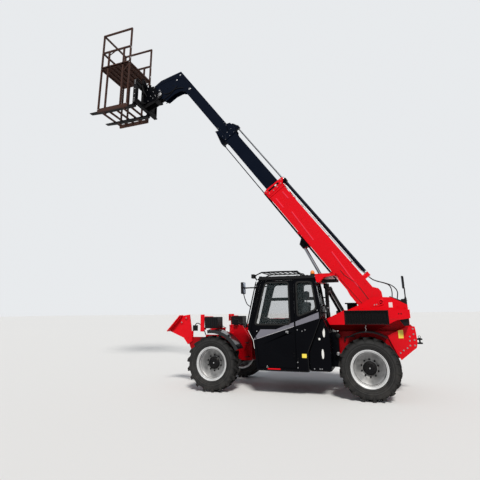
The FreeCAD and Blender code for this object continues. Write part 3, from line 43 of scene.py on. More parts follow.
FRONT_AXLE_X = REAR_AXLE_X + WHEELBASE / 1000
WHEEL_Z = 538
WHEEL_Y = 915
BOOM_PIVOT = Vector((REAR_AXLE_X - 0.300, 0.0, 1.705))
BOOM_TILT = math.radians(53.8)
ALONG = Vector((math.cos(BOOM_TILT), 0.0, math.sin(BOOM_TILT)))
ACROSS = Vector((-math.sin(BOOM_TILT), 0.0, math.cos(BOOM_TILT)))
LEFT = Vector((0, 1, 0))
RIGHT = Vector((0, -1, 0))
UP = Vector((0, 0, 1))
FORWARD = Vector((1, 0, 0))
BACK = Vector((-1, 0, 0))
SIDES = (("left", 1, LEFT), ("right", -1, RIGHT))
BOOM_SIDE, HEAD_SIDE, TOWER_SIDE, CHEEK_SIDE, POD_SIDE, CAB_SIDE = 150, 93, 255, 480, 700, 1050


def at(x, y, z):
    """A point given in millimetres from the rear axle, in the frame."""
    return Vector((x / 1000 + REAR_AXLE_X, y / 1000, z / 1000))


def on_boom(s, y, n):
    """A point s millimetres along the boom from its pivot and n above the pivot line."""
    point = BOOM_PIVOT + s / 1000 * ALONG + n / 1000 * ACROSS
    point.y = y / 1000
    return point


def span(side, a, b):
    """The lower and upper y of what lies between a and b millimetres out on one side."""
    return min(side * a, side * b), max(side * a, side * b)


# Materials
class Shading:
    """A material's node tree with short calls to add, set and join nodes."""

    def __init__(self, name, tree=None):
        self.material = None
        if tree is None:
            self.material = bpy.data.materials.new(name)
            self.material.use_nodes = True
            tree = self.material.node_tree
        self.tree = tree

    def add(self, kind, sockets=(), **settings):
        """A new node whose sockets take other nodes' outputs or plain values."""
        node = self.tree.nodes.new(kind)
        for key, value in settings.items():
            setattr(node, key, value)
        for key, value in dict(sockets).items():
            if isinstance(value, bpy.types.NodeSocket):
                self.tree.links.new(value, node.inputs[key])
            else:
                node.inputs[key].default_value = value
        return node

    def link(self, source, target):
        """Joins an output to an input."""
        self.tree.links.new(source, target)

    def shader(self):
        """The material's own surface shader."""
        return self.tree.nodes["Principled BSDF"]


def new_group(name, inputs, outputs):
    """An empty node group with named sockets, wrapped for building."""
    tree = bpy.data.node_groups.new(name, "ShaderNodeTree")
    for label, kind, value in inputs:
        socket = tree.interface.new_socket(label, in_out="INPUT", socket_type="NodeSocket" + kind)
        socket.default_value = value
    for label, kind in outputs:
        tree.interface.new_socket(label, in_out="OUTPUT", socket_type="NodeSocket" + kind)
    group = Shading(name, tree)
    return group, group.add("NodeGroupInput"), group.add("NodeGroupOutput")


def speckle_group():
    """Uneven tone: broad cloudiness and fine grain laid over a base colour."""
    group, given, result = new_group(
        "speckle",
        [("Base", "Color", (0.5, 0.5, 0.5, 1)), ("Second", "Color", (0.3, 0.3, 0.3, 1)),
         ("Size", "Float", 3.0), ("Amount", "Float", 0.5)],
        [("Color", "Color"), ("Mask", "Float")])
    place = group.add("ShaderNodeTexCoord")
    broad = group.add("ShaderNodeTexNoise", {"Vector": place.outputs["Object"],
                                             "Scale": given.outputs["Size"], "Detail": 6.0})
    mask = group.add("ShaderNodeMapRange", {"Value": broad.outputs["Fac"], "From Min": 0.35, "From Max": 0.7})
    part = group.add("ShaderNodeMath", {0: mask.outputs[0], 1: given.outputs["Amount"]}, operation="MULTIPLY")
    tone = group.add("ShaderNodeMix", {"Factor": part.outputs[0], 6: given.outputs["Base"],
                                       7: given.outputs["Second"]}, data_type="RGBA")
    group.link(tone.outputs[2], result.inputs["Color"])
    group.link(mask.outputs[0], result.inputs["Mask"])
    return group.tree


def dust_group():
    """Road dust that thins out with height and gathers in patches."""
    group, given, result = new_group(
        "dust",
        [("Color", "Color", (0.5, 0.5, 0.5, 1)), ("Dust", "Color", (0.23, 0.21, 0.19, 1)),
         ("Top", "Float", 1.2), ("Amount", "Float", 0.5)],
        [("Color", "Color"), ("Mask", "Float")])
    place = group.add("ShaderNodeTexCoord")
    split = group.add("ShaderNodeSeparateXYZ", {0: place.outputs["Object"]})
    height = group.add("ShaderNodeMapRange", {"Value": split.outputs["Z"], "From Min": 0.0,
                                              "From Max": given.outputs["Top"], "To Min": 1.0, "To Max": 0.0})
    patch = group.add("ShaderNodeTexNoise", {"Vector": place.outputs["Object"], "Scale": 9.0, "Detail": 8.0})
    edge = group.add("ShaderNodeMapRange", {"Value": patch.outputs["Fac"], "From Min": 0.4, "From Max": 0.62})
    both = group.add("ShaderNodeMath", {0: height.outputs[0], 1: edge.outputs[0]}, operation="MULTIPLY")
    part = group.add("ShaderNodeMath", {0: both.outputs[0], 1: given.outputs["Amount"]}, operation="MULTIPLY")
    tone = group.add("ShaderNodeMix", {"Factor": part.outputs[0], 6: given.outputs["Color"],
                                       7: given.outputs["Dust"]}, data_type="RGBA")
    group.link(tone.outputs[2], result.inputs["Color"])
    group.link(part.outputs[0], result.inputs["Mask"])
    return group.tree


def ripple_group():
    """A fine surface normal from noise, for orange peel, castings and rubber."""
    group, given, result = new_group(
        "ripple", [("Size", "Float", 200.0), ("Depth", "Float", 0.1), ("Distance", "Float", 0.001)],
        [("Normal", "Vector")])
    place = group.add("ShaderNodeTexCoord")
    grain = group.add("ShaderNodeTexNoise", {"Vector": place.outputs["Object"],
                                             "Scale": given.outputs["Size"], "Detail": 3.0})
    bump = group.add("ShaderNodeBump", {"Height": grain.outputs["Fac"], "Strength": given.outputs["Depth"],
                                        "Distance": given.outputs["Distance"]})
    group.link(bump.outputs["Normal"], result.inputs["Normal"])
    return group.tree


def shade_group():
    """Paint that darkens below a level, as in the shade of a hollow."""
    group, given, result = new_group(
        "hollow",
        [("Color", "Color", (0.5, 0.5, 0.5, 1)), ("Level", "Float", 1.2), ("Spread", "Float", 0.1),
         ("Dark", "Float", 0.3)], [("Color", "Color")])
    place = group.add("ShaderNodeTexCoord")
    split = group.add("ShaderNodeSeparateXYZ", {0: place.outputs["Object"]})
    low = group.add("ShaderNodeMath", {0: given.outputs["Level"], 1: given.outputs["Spread"]},
                    operation="SUBTRACT")
    keep = group.add("ShaderNodeMapRange", {"Value": split.outputs["Z"], "From Min": low.outputs[0],
                                            "From Max": given.outputs["Level"],
                                            "To Min": given.outputs["Dark"], "To Max": 1.0})
    tone = group.add("ShaderNodeVectorMath", {0: given.outputs["Color"]}, operation="SCALE")
    group.link(keep.outputs[0], tone.inputs["Scale"])
    group.link(tone.outputs[0], result.inputs["Color"])
    return group.tree


def radius_group():
    """How far a point is from a wheel's axis."""
    group, given, result = new_group("wheel radius", [("Middle", "Float", 0.0)], [("Radius", "Float")])
    place = group.add("ShaderNodeTexCoord")
    split = group.add("ShaderNodeSeparateXYZ", {0: place.outputs["Object"]})
    run = group.add("ShaderNodeMath", {0: split.outputs["X"], 1: given.outputs["Middle"]},
                    operation="SUBTRACT")
    rise = group.add("ShaderNodeMath", {0: split.outputs["Z"], 1: WHEEL_Z / 1000},
                     operation="SUBTRACT")
    flat = group.add("ShaderNodeCombineXYZ", {"X": run.outputs[0], "Z": rise.outputs[0]})
    length = group.add("ShaderNodeVectorMath", {0: flat.outputs[0]}, operation="LENGTH")
    group.link(length.outputs["Value"], result.inputs["Radius"])
    return group.tree


SPECKLE, DUST, RIPPLE = speckle_group(), dust_group(), ripple_group()
SHADE, RADIUS = shade_group(), radius_group()


def finish(name, slot, color, second, size=3.0, uneven=0.5, rough=(0.3, 0.5), metallic=0.0, dust=0.0,
           dust_top=1.2, grain=(300.0, 0.1), coat=0.0, specular=0.5):
    """A painted, moulded or bare surface with uneven tone, dust below and a fine grain."""
    shading = Shading(name)
    tone = shading.add("ShaderNodeGroup", node_tree=SPECKLE)
    for key, value in (("Base", (*color, 1)), ("Second", (*second, 1)), ("Size", size), ("Amount", uneven)):
        tone.inputs[key].default_value = value
    soil = shading.add("ShaderNodeGroup", node_tree=DUST)
    soil.inputs["Top"].default_value = dust_top
    soil.inputs["Amount"].default_value = dust
    peel = shading.add("ShaderNodeGroup", node_tree=RIPPLE)
    peel.inputs["Size"].default_value, peel.inputs["Depth"].default_value = grain
    shading.link(tone.outputs["Color"], soil.inputs["Color"])
    shader = shading.shader()
    shading.link(soil.outputs["Color"], shader.inputs["Base Color"])
    gloss = shading.add("ShaderNodeMapRange", {"Value": tone.outputs["Mask"], "To Min": rough[0],
                                               "To Max": rough[1]})
    dull = shading.add("ShaderNodeMath", {0: gloss.outputs[0], 1: soil.outputs["Mask"]}, operation="ADD",
                       use_clamp=True)
    shading.link(dull.outputs[0], shader.inputs["Roughness"])
    shading.link(peel.outputs["Normal"], shader.inputs["Normal"])
    shader.inputs["Metallic"].default_value = metallic
    shader.inputs["Specular IOR Level"].default_value = specular
    shader.inputs["Coat Weight"].default_value = coat
    shader.inputs["Coat Roughness"].default_value = 0.08
    shading.material["slot"] = slot
    return shading.material


def hollow(material, **values):
    """Puts the shade of a hollow, with its level, spread and dark, between a paint's tone and its shader."""
    shading = Shading(material.name, material.node_tree)
    color = shading.shader().inputs["Base Color"]
    shade = shading.add("ShaderNodeGroup", {key.title(): value for key, value in values.items()},
                        node_tree=SHADE)
    shading.link(color.links[0].from_socket, shade.inputs["Color"])
    shading.link(shade.outputs["Color"], color)
    return material


def glass(name, slot, tint, alpha):
    """Thin tinted glazing that lets the cab's inside show."""
    shading = Shading(name)
    shader = shading.shader()
    haze = shading.add("ShaderNodeTexNoise", {"Scale": 14.0, "Detail": 4.0})
    smear = shading.add("ShaderNodeMapRange", {"Value": haze.outputs["Fac"], "To Min": 0.02, "To Max": 0.07})
    shading.link(smear.outputs[0], shader.inputs["Roughness"])
    shader.inputs["Base Color"].default_value = (*tint, 1)
    shader.inputs["Alpha"].default_value = alpha
    shader.inputs["Specular IOR Level"].default_value = 0.5
    shading.material["slot"] = slot
    return shading.material


def wheel_disc(name, middle):
    """Wheel paint: a bright ring round a grey dished disc, with painted shade that darkens the disc toward its
    centre and draws thin dark lines in the creases between the rings.
    """
    material = finish(name, "grey_paint", (0.5, 0.5, 0.5), (0.4, 0.4, 0.4), size=8.0, rough=(0.28, 0.4),
                      metallic=0.55, dust=0.15, dust_top=1.0)
    shading = Shading(name, material.node_tree)
    away = shading.add("ShaderNodeGroup", node_tree=RADIUS)
    away.inputs["Middle"].default_value = middle
    # Tones by radius: the grey disc has painted shade that darkens it toward the centre, and dark lines at
    # 0.2765–0.2815 and 0.301–0.304 m are painted shade in creases
    rings(shading, away, ((0.13, 0.062), (0.240, 0.13), (0.262, 0.20), (0.2745, 0.26), (0.2765, 0.02),
                          (0.2815, 0.02), (0.284, 0.66), (0.2995, 0.66), (0.301, 0.2), (0.304, 0.2),
                          (0.3055, 0.74), (0.33, 0.74)))
    return material


def rings(shading, away, tones):
    """Colours a wheel's surface by its distance from the axis."""
    ramp = shading.add("ShaderNodeValToRGB", {"Fac": away.outputs["Radius"]})
    stops = ramp.color_ramp.elements
    for stop, (position, tone) in zip(stops, (tones[0], tones[-1])):
        stop.position = position
        stop.color = (tone, tone * 1.01, tone * 1.02, 1)
    for position, tone in tones[1:-1]:
        stops.new(position).color = (tone, tone * 1.01, tone * 1.02, 1)
    groups = [node for node in shading.tree.nodes if node.type == "GROUP"]
    speckle = [node for node in groups if node.node_tree == SPECKLE][0]
    shading.link(ramp.outputs["Color"], speckle.inputs["Base"])


def tyre_rubber(name, middle):
    """Tyre rubber, greyer on the sidewall's rings than between the lugs: the grey bands are painted highlights."""
    material = finish(name, "tyre", (0.011, 0.011, 0.012), (0.016, 0.015, 0.015), size=22.0, uneven=0.3,
                      rough=(0.6, 0.8), grain=(260.0, 0.3), dust=0.08, dust_top=0.9, specular=0.15)
    shading = Shading(name, material.node_tree)
    away = shading.add("ShaderNodeGroup", node_tree=RADIUS)
    away.inputs["Middle"].default_value = middle
    # Painted highlights: lighter bands at the radii of the raised sidewall rings and near 0.45 m, with darker
    # rubber between them
    rings(shading, away, ((0.330, 0.010), (0.345, 0.034), (0.356, 0.010), (0.378, 0.026), (0.392, 0.012),
                          (0.408, 0.040), (0.418, 0.012), (0.450, 0.024), (0.500, 0.010), (0.538, 0.014)))
    return material


RED_TONES = (0.66, 0.002, 0.009), (0.56, 0.002, 0.007)
RED = finish("red enamel", "red_paint", *RED_TONES, rough=(0.3, 0.4), specular=0.12, coat=0.05)
# Chassis red with painted shade: it darkens below 1.25 m, down to 0.45 of its tone, where the pods and body shade
# the frame
FRAME_RED = hollow(finish("frame red", "red_paint", *RED_TONES, rough=(0.3, 0.4), specular=0.1),
                   level=1.25, spread=0.2, dark=0.45)
# A lighter, pinker red on the boom's rib crests: a painted highlight
RIB_HIGHLIGHT_RED = finish("red rib with painted highlight", "red_paint", (0.74, 0.035, 0.065), (0.66, 0.02, 0.045), rough=(0.3, 0.4),
                 specular=0.12)
# Pod red with painted shade: it turns sharply darker below 1.286 m, on the pods' undercut lower faces
POD_RED = hollow(finish("pod red", "red_paint", *RED_TONES, rough=(0.3, 0.4), specular=0.1),
                 level=1.286, spread=0.012, dark=0.22)
# Dark red with two uses: real panel seams on the pods and hood, and painted shade in strips under the boom's folds
SEAM_AND_SHADE_RED = finish("dark red for seams and painted shade", "red_paint", (0.20, 0.002, 0.005), (0.14, 0.002, 0.004),
                  rough=(0.35, 0.5), dust=0.1)
BLACK = finish("black enamel", "black_paint", (0.0015, 0.0017, 0.0028), (0.0024, 0.0028, 0.004),
               rough=(0.22, 0.34), specular=0.04)
# Black enamel whose blue tint is a painted reflection of a blue sky
BOOM_BLACK = finish("black enamel with painted sky reflection", "black_paint", (0.0015, 0.0035, 0.010), (0.002, 0.0045, 0.012),
                    rough=(0.35, 0.5), specular=0.05)
IRON_BLACK = finish("matt black iron", "black_paint", (0.004, 0.004, 0.005), (0.008, 0.0075, 0.0075), size=12.0,
                    rough=(0.5, 0.7), specular=0.12, dust=0.03, grain=(150.0, 0.3))
PLASTIC = finish("moulded black plastic", "black_plastic", (0.005, 0.005, 0.006), (0.008, 0.008, 0.009),
                 rough=(0.4, 0.55), specular=0.15, grain=(900.0, 0.25), dust=0.04)
FENDER = finish("glossy black fender", "black_plastic", (0.006, 0.007, 0.009), (0.009, 0.010, 0.012),
                rough=(0.08, 0.14), specular=0.35, coat=0.1)
SEAL = finish("rubber seal", "black_plastic", (0.006, 0.006, 0.006), (0.010, 0.010, 0.010), size=30.0,
              rough=(0.6, 0.75), specular=0.25)
RUST = finish("rusty angle iron", "brown_paint", (0.031, 0.014, 0.011), (0.066, 0.027, 0.017), size=16.0,
              uneven=0.8, rough=(0.6, 0.9), specular=0.2, grain=(120.0, 0.4))
CHROME = finish("hard chrome rod", "chrome", (0.24, 0.25, 0.28), (0.19, 0.20, 0.22), rough=(0.24, 0.34),
                metallic=1.0)
ROD = finish("dull chrome rod", "chrome", (0.075, 0.080, 0.090), (0.055, 0.060, 0.068), rough=(0.34, 0.44),
             metallic=0.7)
STEEL = finish("zinc plated steel", "chrome", (0.36, 0.36, 0.37), (0.26, 0.26, 0.26), size=30.0,
               rough=(0.28, 0.45), metallic=0.9)
IRON = finish("cast iron", "cast_iron", (0.03, 0.03, 0.032), (0.05, 0.045, 0.04), size=9.0, rough=(0.6, 0.8),
              grain=(90.0, 0.5), dust=0.1)
SEAT = finish("seat fabric", "seat_cover", (0.018, 0.024, 0.028), (0.028, 0.036, 0.040), size=40.0,
              rough=(0.8, 0.95), grain=(500.0, 0.6))
HOSE = finish("hose rubber", "hose", (0.006, 0.006, 0.007), (0.011, 0.011, 0.012), size=30.0,
              rough=(0.45, 0.6), specular=0.3, grain=(500.0, 0.3))
STRIPE = finish("grey stripe film", "black_paint", (0.150, 0.148, 0.178), (0.132, 0.130, 0.160),
                rough=(0.25, 0.35), dust=0.02)
YELLOW = finish("yellow label film", "grey_paint", (0.82, 0.66, 0.07), (0.76, 0.60, 0.06), rough=(0.35, 0.45),
                dust=0.05)
WHITE = finish("white film", "grey_paint", (0.72, 0.72, 0.70), (0.66, 0.66, 0.64), rough=(0.35, 0.5), dust=0.05)
AMBER = finish("amber lens", "lamp_amber", (0.85, 0.22, 0.01), (0.75, 0.18, 0.01), rough=(0.12, 0.2), coat=0.5)
LENS_RED = finish("red lens", "red_paint", (0.38, 0.006, 0.008), (0.30, 0.005, 0.006), rough=(0.1, 0.16),
                  coat=0.5)
LENS_CLEAR = finish("clear lamp lens", "clear_glass", (0.55, 0.58, 0.62), (0.45, 0.48, 0.52),
                    rough=(0.06, 0.12), coat=0.6, metallic=0.4)
MIRROR = finish("mirror glass", "chrome", (0.34, 0.38, 0.46), (0.32, 0.36, 0.44), rough=(0.02, 0.05),
                metallic=1.0)
GLASS = glass("cab glass", "clear_glass", (0.05, 0.07, 0.075), 0.13)
DISC_FRONT = wheel_disc("front wheel paint", FRONT_AXLE_X)
DISC_REAR = wheel_disc("rear wheel paint", REAR_AXLE_X)
TYRE = {"front": tyre_rubber("front tyre rubber", FRONT_AXLE_X),
        "rear": tyre_rubber("rear tyre rubber", REAR_AXLE_X)}

NODE_FINISH = {
    RED: ["nose_plate", "counterweight", "engine_hood", "roof_visor", "boom_outer"],
    FRAME_RED: ["chassis_frame"],
    POD_RED: ["rear_pods"],
    BLACK: ["engine_bay", "fuel_tank", "cab_frame", "roof_guard", "screen_guard", "cab_door", "tilt_barrel"],
    IRON_BLACK: ["side_grilles", "tow_hitch", "front_axle", "rear_axle", "lift_barrel", "forks", "carriage",
                 "knuckle_front_left", "knuckle_front_right", "knuckle_rear_left", "knuckle_rear_right"],
    BOOM_BLACK: ["boom_middle", "boom_inner", "extension_barrel"],
    PLASTIC: ["tail_cover", "cab_roof", "dash_and_wheel", "cab_mirror", "tail_mirror", "headlamps",
              "tail_lamps", "rear_fenders"],
    FENDER: ["front_fenders"],
    DISC_FRONT: ["rim_front_left", "rim_front_right"],
    DISC_REAR: ["rim_rear_left", "rim_rear_right"],
    TYRE["front"]: ["tyre_front_left", "tyre_front_right"],
    TYRE["rear"]: ["tyre_rear_left", "tyre_rear_right"],
    RUST: ["work_platform"],
    CHROME: ["lift_rod", "tilt_rod"],
    ROD: ["extension_rod"],
    IRON: ["engine_block"],
    SEAT: ["seat"],
    AMBER: ["beacon"],
    HOSE: ["boom_hose_left", "boom_hose_right"],
    GLASS: ["cab_glass", "door_glass"],
}
for material, names in NODE_FINISH.items():
    for name in names:
        NODES[name].data.materials.clear()
        NODES[name].data.materials.append(material)


# Shapes
SHARP_EDGE = math.radians(38)


def settle(item, body):
    """Links a piece into the scene and sets it on its body."""
    bpy.context.scene.collection.objects.link(item)
    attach(item, body)
    return item


def add(name, form, look, body, bevel=0.0, smooth=False):
    """A piece from a finished bmesh: faced outward, dressed and set on its body."""
    bmesh.ops.recalc_face_normals(form, faces=form.faces)
    mesh = bpy.data.meshes.new(name)
    form.to_mesh(mesh)
    form.free()
    mesh.materials.append(look)
    item = bpy.data.objects.new(name, mesh)
    if smooth:
        mesh.shade_smooth()
        mesh.set_sharp_from_angle(angle=SHARP_EDGE)
    if bevel:
        edge = item.modifiers.new("eased edges", "BEVEL")
        edge.width = bevel / 1000
        edge.segments = 2
        edge.limit_method = "ANGLE"
    return settle(item, body)


def prism(form, ring_a, ring_b):
    """A closed block between two rings of points."""
    a = [form.verts.new(point) for point in ring_a]
    b = [form.verts.new(point) for point in ring_b]
    form.faces.new(a)
    form.faces.new(b[::-1])
    count = len(a)
    for i in range(count):
        form.faces.new((a[i], a[(i + 1) % count], b[(i + 1) % count], b[i]))


def slab(name, blocks, look, body, bevel=2.0, to=at):
    """Outlines in the upright plane, each thick from low to high across the machine."""
    form = bmesh.new()
    for outline, low, high in blocks:
        prism(form, [to(u, low, w) for u, w in outline], [to(u, high, w) for u, w in outline])
    return add(name, form, look, body, bevel)


def square(u0, u1, w0, w1):
    """A rectangle's corners."""
    return [(u0, w0), (u1, w0), (u1, w1), (u0, w1)]


def boxes(name, spans, look, body, bevel=2.0, to=at):
    """Blocks given by their ends on each axis."""
    return slab(name, [(square(x0, x1, z0, z1), y0, y1) for x0, x1, y0, y1, z0, z1 in spans], look, body,
                bevel, to)


def shrink(outline, by):
    """An outline drawn inward by an even width."""
    area = sum(a[0] * b[1] - b[0] * a[1] for a, b in zip(outline, outline[1:] + outline[:1]))
    side = 1 if area > 0 else -1
    moved = []
    for before, here, after in zip(outline[-1:] + outline[:-1], outline, outline[1:] + outline[:1]):
        a = (Vector(here) - Vector(before)).normalized()
        b = (Vector(after) - Vector(here)).normalized()
        half = (Vector((-a.y, a.x)) + Vector((-b.y, b.x))).normalized() * side
        moved.append(tuple(Vector(here) + half * by / (half.dot(Vector((-a.y, a.x))) * side)))
    return moved


def rounded(outline, radius, steps=5):
    """An outline with each corner turned into an arc."""
    result = []
    for before, here, after in zip(outline[-1:] + outline[:-1], outline, outline[1:] + outline[:1]):
        middle = Vector(here)
        a = (Vector(before) - middle).normalized()
        b = (Vector(after) - middle).normalized()
        start, end = middle + a * radius, middle + b * radius
        for n in range(steps + 1):
            t = n / steps
            result.append(tuple(start * (1 - t) ** 2 + middle * 2 * t * (1 - t) + end * t ** 2))
    return result


def oval(x, z, wide, high, steps=28):
    """An upright oval outline round a point."""
    angles = [k * math.tau / steps for k in range(steps)]
    return [(x + wide * math.cos(angle), z + high * math.sin(angle)) for angle in angles]


def band(name, outer, inner, low, high, look, body, bevel=1.5, to=at):
    """A flat ring between two outlines with as many corners each."""
    form = bmesh.new()
    rings = [[form.verts.new(to(u, y, w)) for u, w in outline]
             for y in (low, high) for outline in (outer, inner)]
    count = len(outer)
    for a, b in ((0, 1), (1, 3), (3, 2), (2, 0)):
        for i in range(count):
            j = (i + 1) % count
            form.faces.new((rings[a][i], rings[a][j], rings[b][j], rings[b][i]))
    return add(name, form, look, body, bevel)


def facing(direction):
    """The turn that lays the z axis along a direction."""
    return Vector(direction).to_track_quat("Z", "Y").to_matrix()


def bolts(name, places, direction, width, look, body, height=0.6):
    """Hexagon heads with a crowned top on round washers, all facing one way."""
    form = bmesh.new()
    turn = facing(direction)
    width /= 1000
    for n, place in enumerate(places):
        rings = []
        for sides, radius, level in ((6, 0.5, 0.1), (6, 0.5, height * 0.85), (6, 0.42, height)):
            rings.append([place + turn @ (Vector((math.cos(k * math.tau / sides + n), math.sin(
                k * math.tau / sides + n), 0)) * radius * width + Vector((0, 0, level * width)))
                for k in range(sides)])
        prism(form, rings[0], rings[1])
        prism(form, rings[1], rings[2])
        disc = [place + turn @ Vector((math.cos(k * math.tau / 14) * 0.66 * width,
                                       math.sin(k * math.tau / 14) * 0.66 * width, 0)) for k in range(14)]
        prism(form, disc, [point + turn @ Vector((0, 0, 0.12 * width)) for point in disc])
    return add(name, form, look, body)


def lathe(name, profile, places, direction, look, body, steps=48, smooth=True, bored=False):
    """A profile of (distance along an axis, radius) turned at each place, capped or else bored through."""
    form = bmesh.new()
    turn = facing(direction)
    for place in places:
        rings = []
        for along, radius in profile:
            rings.append([form.verts.new(place + turn @ Vector((
                radius * math.cos(k * math.tau / steps), radius * math.sin(k * math.tau / steps),
                along)) / 1000) for k in range(steps)])
        for a, b in zip(rings, rings[1:] + (rings[:1] if bored else [])):
            for k in range(steps):
                form.faces.new((a[k], a[(k + 1) % steps], b[(k + 1) % steps], b[k]))
        if not bored:
            form.faces.new(rings[0][::-1])
            form.faces.new(rings[-1])
    return add(name, form, look, body, smooth=smooth)


def hoop(name, profile, place, direction, look, body, steps=96):
    """A closed profile of (distance along an axis, radius) turned into a ring."""
    return lathe(name, profile, [place], direction, look, body, steps, bored=True)


def tube(name, runs, radius, look, body, order=3):
    """Round bars, pipes or hoses, each a smooth line through its own control points."""
    data = bpy.data.curves.new(name, "CURVE")
    data.dimensions = "3D"
    data.bevel_depth = radius / 1000
    data.bevel_resolution = 3
    data.resolution_u = 6
    data.use_fill_caps = True
    for points in runs:
        line = data.splines.new("NURBS")
        line.points.add(len(points) - 1)
        for knot, point in zip(line.points, points):
            knot.co = (*point, 1)
        line.order_u = min(order, len(points))
        line.use_endpoint_u = True
    data.materials.append(look)
    return settle(bpy.data.objects.new(name, data), body)


# Camera and cords
CAMERA_PLACE = at(-308, 8573, 1549)
CAMERA_TURN = (19.749, 14.666, -0.664)  # yaw, pitch and roll in degrees
SENSOR_MM, LENS_MM, LENS_SHIFT = 36.0, 28.41, (-0.001, -0.0571)


def camera():
    """The photograph's viewing place, turn and lens."""
    yaw, pitch, roll = (math.radians(angle) for angle in CAMERA_TURN)
    forward = Vector((math.sin(yaw) * math.cos(pitch), -math.cos(yaw) * math.cos(pitch), math.sin(pitch)))
    right = forward.cross(UP).normalized()
    up = right.cross(forward)
    right, up = math.cos(roll) * right + math.sin(roll) * up, math.cos(roll) * up - math.sin(roll) * right
    data = bpy.data.cameras.new("camera")
    data.sensor_width = SENSOR_MM
    data.lens = LENS_MM
    data.shift_x, data.shift_y = LENS_SHIFT
    data.clip_end = 500.0
    item = bpy.data.objects.new("camera", data)
    turn = Matrix((right, up, -forward)).transposed().to_4x4()
    item.matrix_world = Matrix.Translation(CAMERA_PLACE) @ turn
    bpy.context.scene.collection.objects.link(item)
    bpy.context.scene.camera = item


HOSE_RADIUS = 11
HOSES = {  # y, then x, z of each control point from the ram's foot down into the tail cover
    "boom_hose_left": (20, ((-109.3, 2246.63), (-150.05, 2190.95), (-262, 2138), (-440, 2090),
                            (-570, 2028), (-645, 1925), (-628, 1800), (-602, 1702))),
    "boom_hose_right": (-20, ((-109.3, 2246.63), (-150.05, 2190.95), (-262, 2138), (-400, 2100),
                              (-508, 2050), (-540, 1925), (-525, 1800), (-520, 1700))),
}


def boom_hoses():
    """Two hydraulic hoses that sag from the extension ram's foot into the tail cover."""
    for node, (side, route) in HOSES.items():
        points = [at(x, side, z) for x, z in route]
        hose = tube(node + "_line", [points], HOSE_RADIUS, HOSE, "boom_outer")
        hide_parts(node)
        run = (points[1] - points[0]).normalized()
        ferrule = lathe(node + "_ferrule",
                        [(1, 12.5), (1, 15.5), (30, 15.5), (34, 13.5), (36, 11.5)],
                        [points[0]], run, STEEL, "boom_outer", steps=20)


camera()
boom_hoses()


# Wheels
LUGS = 18


def wheel(end, side):
    """Hub cap, nuts, sidewall rings, lug roots and a valve on one wheel."""
    body, name = f"wheel_{end}_{side}", f"{end}_{side}"
    out = LEFT if side == "left" else RIGHT
    centre = at(WHEELBASE if end == "front" else 0, WHEEL_Y * out.y, WHEEL_Z)

    def around(radius, angle, outward):
        return centre + (Vector((math.sin(angle), 0, math.cos(angle))) * radius + out * outward) / 1000

    lathe(f"hub_cap_{name}",
          [(-31, 121.5), (-12, 122.8), (-8.5, 120.5), (9.5, 97.5), (11.8, 94), (11.8, 60), (18.5, 57),
           (18.5, 34), (12.5, 31), (12.5, 18), (24, 16), (24, 4)], [centre], out, IRON_BLACK, body)
    lathe(f"hub_plug_{name}", [(12, 15), (27, 14), (29.5, 11), (29.5, 2)], [centre], out, STEEL, body, 24)
    bolts(f"hub_bolts_{name}", [around(78, k * math.tau / 8 + 0.2, 12) for k in range(8)], out, 17,
          IRON_BLACK, body)
    bolts(f"wheel_nuts_{name}", [around(152, k * math.tau / 10, -28.5) for k in range(10)], out, 27,
          IRON_BLACK, body, height=0.75)
    for n, profile in enumerate((
            [(147.5, 338), (154, 340.5), (158.5, 349), (155, 353.5), (146, 350)],
            [(159, 372), (166, 374), (167.5, 378), (164, 380.5), (158, 378)],
            [(166.5, 400), (172.5, 403.5), (173.5, 411.5), (168, 415), (163, 408)])):
        hoop(f"sidewall_ring_{n}_{name}", profile, centre, out, TYRE[end], body)
    form = bmesh.new()
    for row, offset in ((1, 4.2), (-1, 14.2)):
        for k in range(LUGS):
            angle = math.radians(offset + 360 / LUGS * k)
            low = [around(440, angle + turn, row * level) for turn, level in
                   ((-0.016, 165), (0.016, 165), (0.013, 172.5), (-0.013, 172.5))]
            high = [around(506, angle + turn, row * level) for turn, level in
                    ((-0.058, 118), (0.058, 118), (0.046, 166), (-0.046, 166))]
            prism(form, low, high)
    add(f"lug_roots_{name}", form, TYRE[end], body, bevel=2.0)
    lathe(f"valve_{name}", [(-8, 5.5), (2, 5.5), (3, 4), (22, 4), (23, 5.2), (34, 5.2), (36, 3.5)],
          [around(262, 0.6, 60)], out, STEEL, body, 14)


# Boom
def both_sides(u0, u1, w0, w1, low, high):
    """A rectangle's two blocks, one on each side of the boom."""
    return [(square(u0, u1, w0, w1), low, high), (square(u0, u1, w0, w1), -high, -low)]


def strips(name, lines, rise, wide, look, taper=0.6):
    """Raised ribs along the lower boom's sides, each on a centre line and narrower at its crest."""
    form = bmesh.new()
    for line in lines:
        for side in (1, -1):
            for (s0, n0), (s1, n1) in zip(line, line[1:]):
                run = Vector((s1 - s0, n1 - n0)).normalized()
                off = Vector((-run.y, run.x)) * wide / 2
                rings = []
                for y, k in ((side * (BOOM_SIDE - 3), 1.0), (side * (BOOM_SIDE + rise), taper)):
                    rings.append([on_boom(s0 + off.x * k, y, n0 + off.y * k),
                                  on_boom(s1 + off.x * k, y, n1 + off.y * k),
                                  on_boom(s1 - off.x * k, y, n1 - off.y * k),
                                  on_boom(s0 - off.x * k, y, n0 - off.y * k)])
                prism(form, rings[0], rings[1])
    return add(name, form, look, "boom_outer", bevel=1.5)


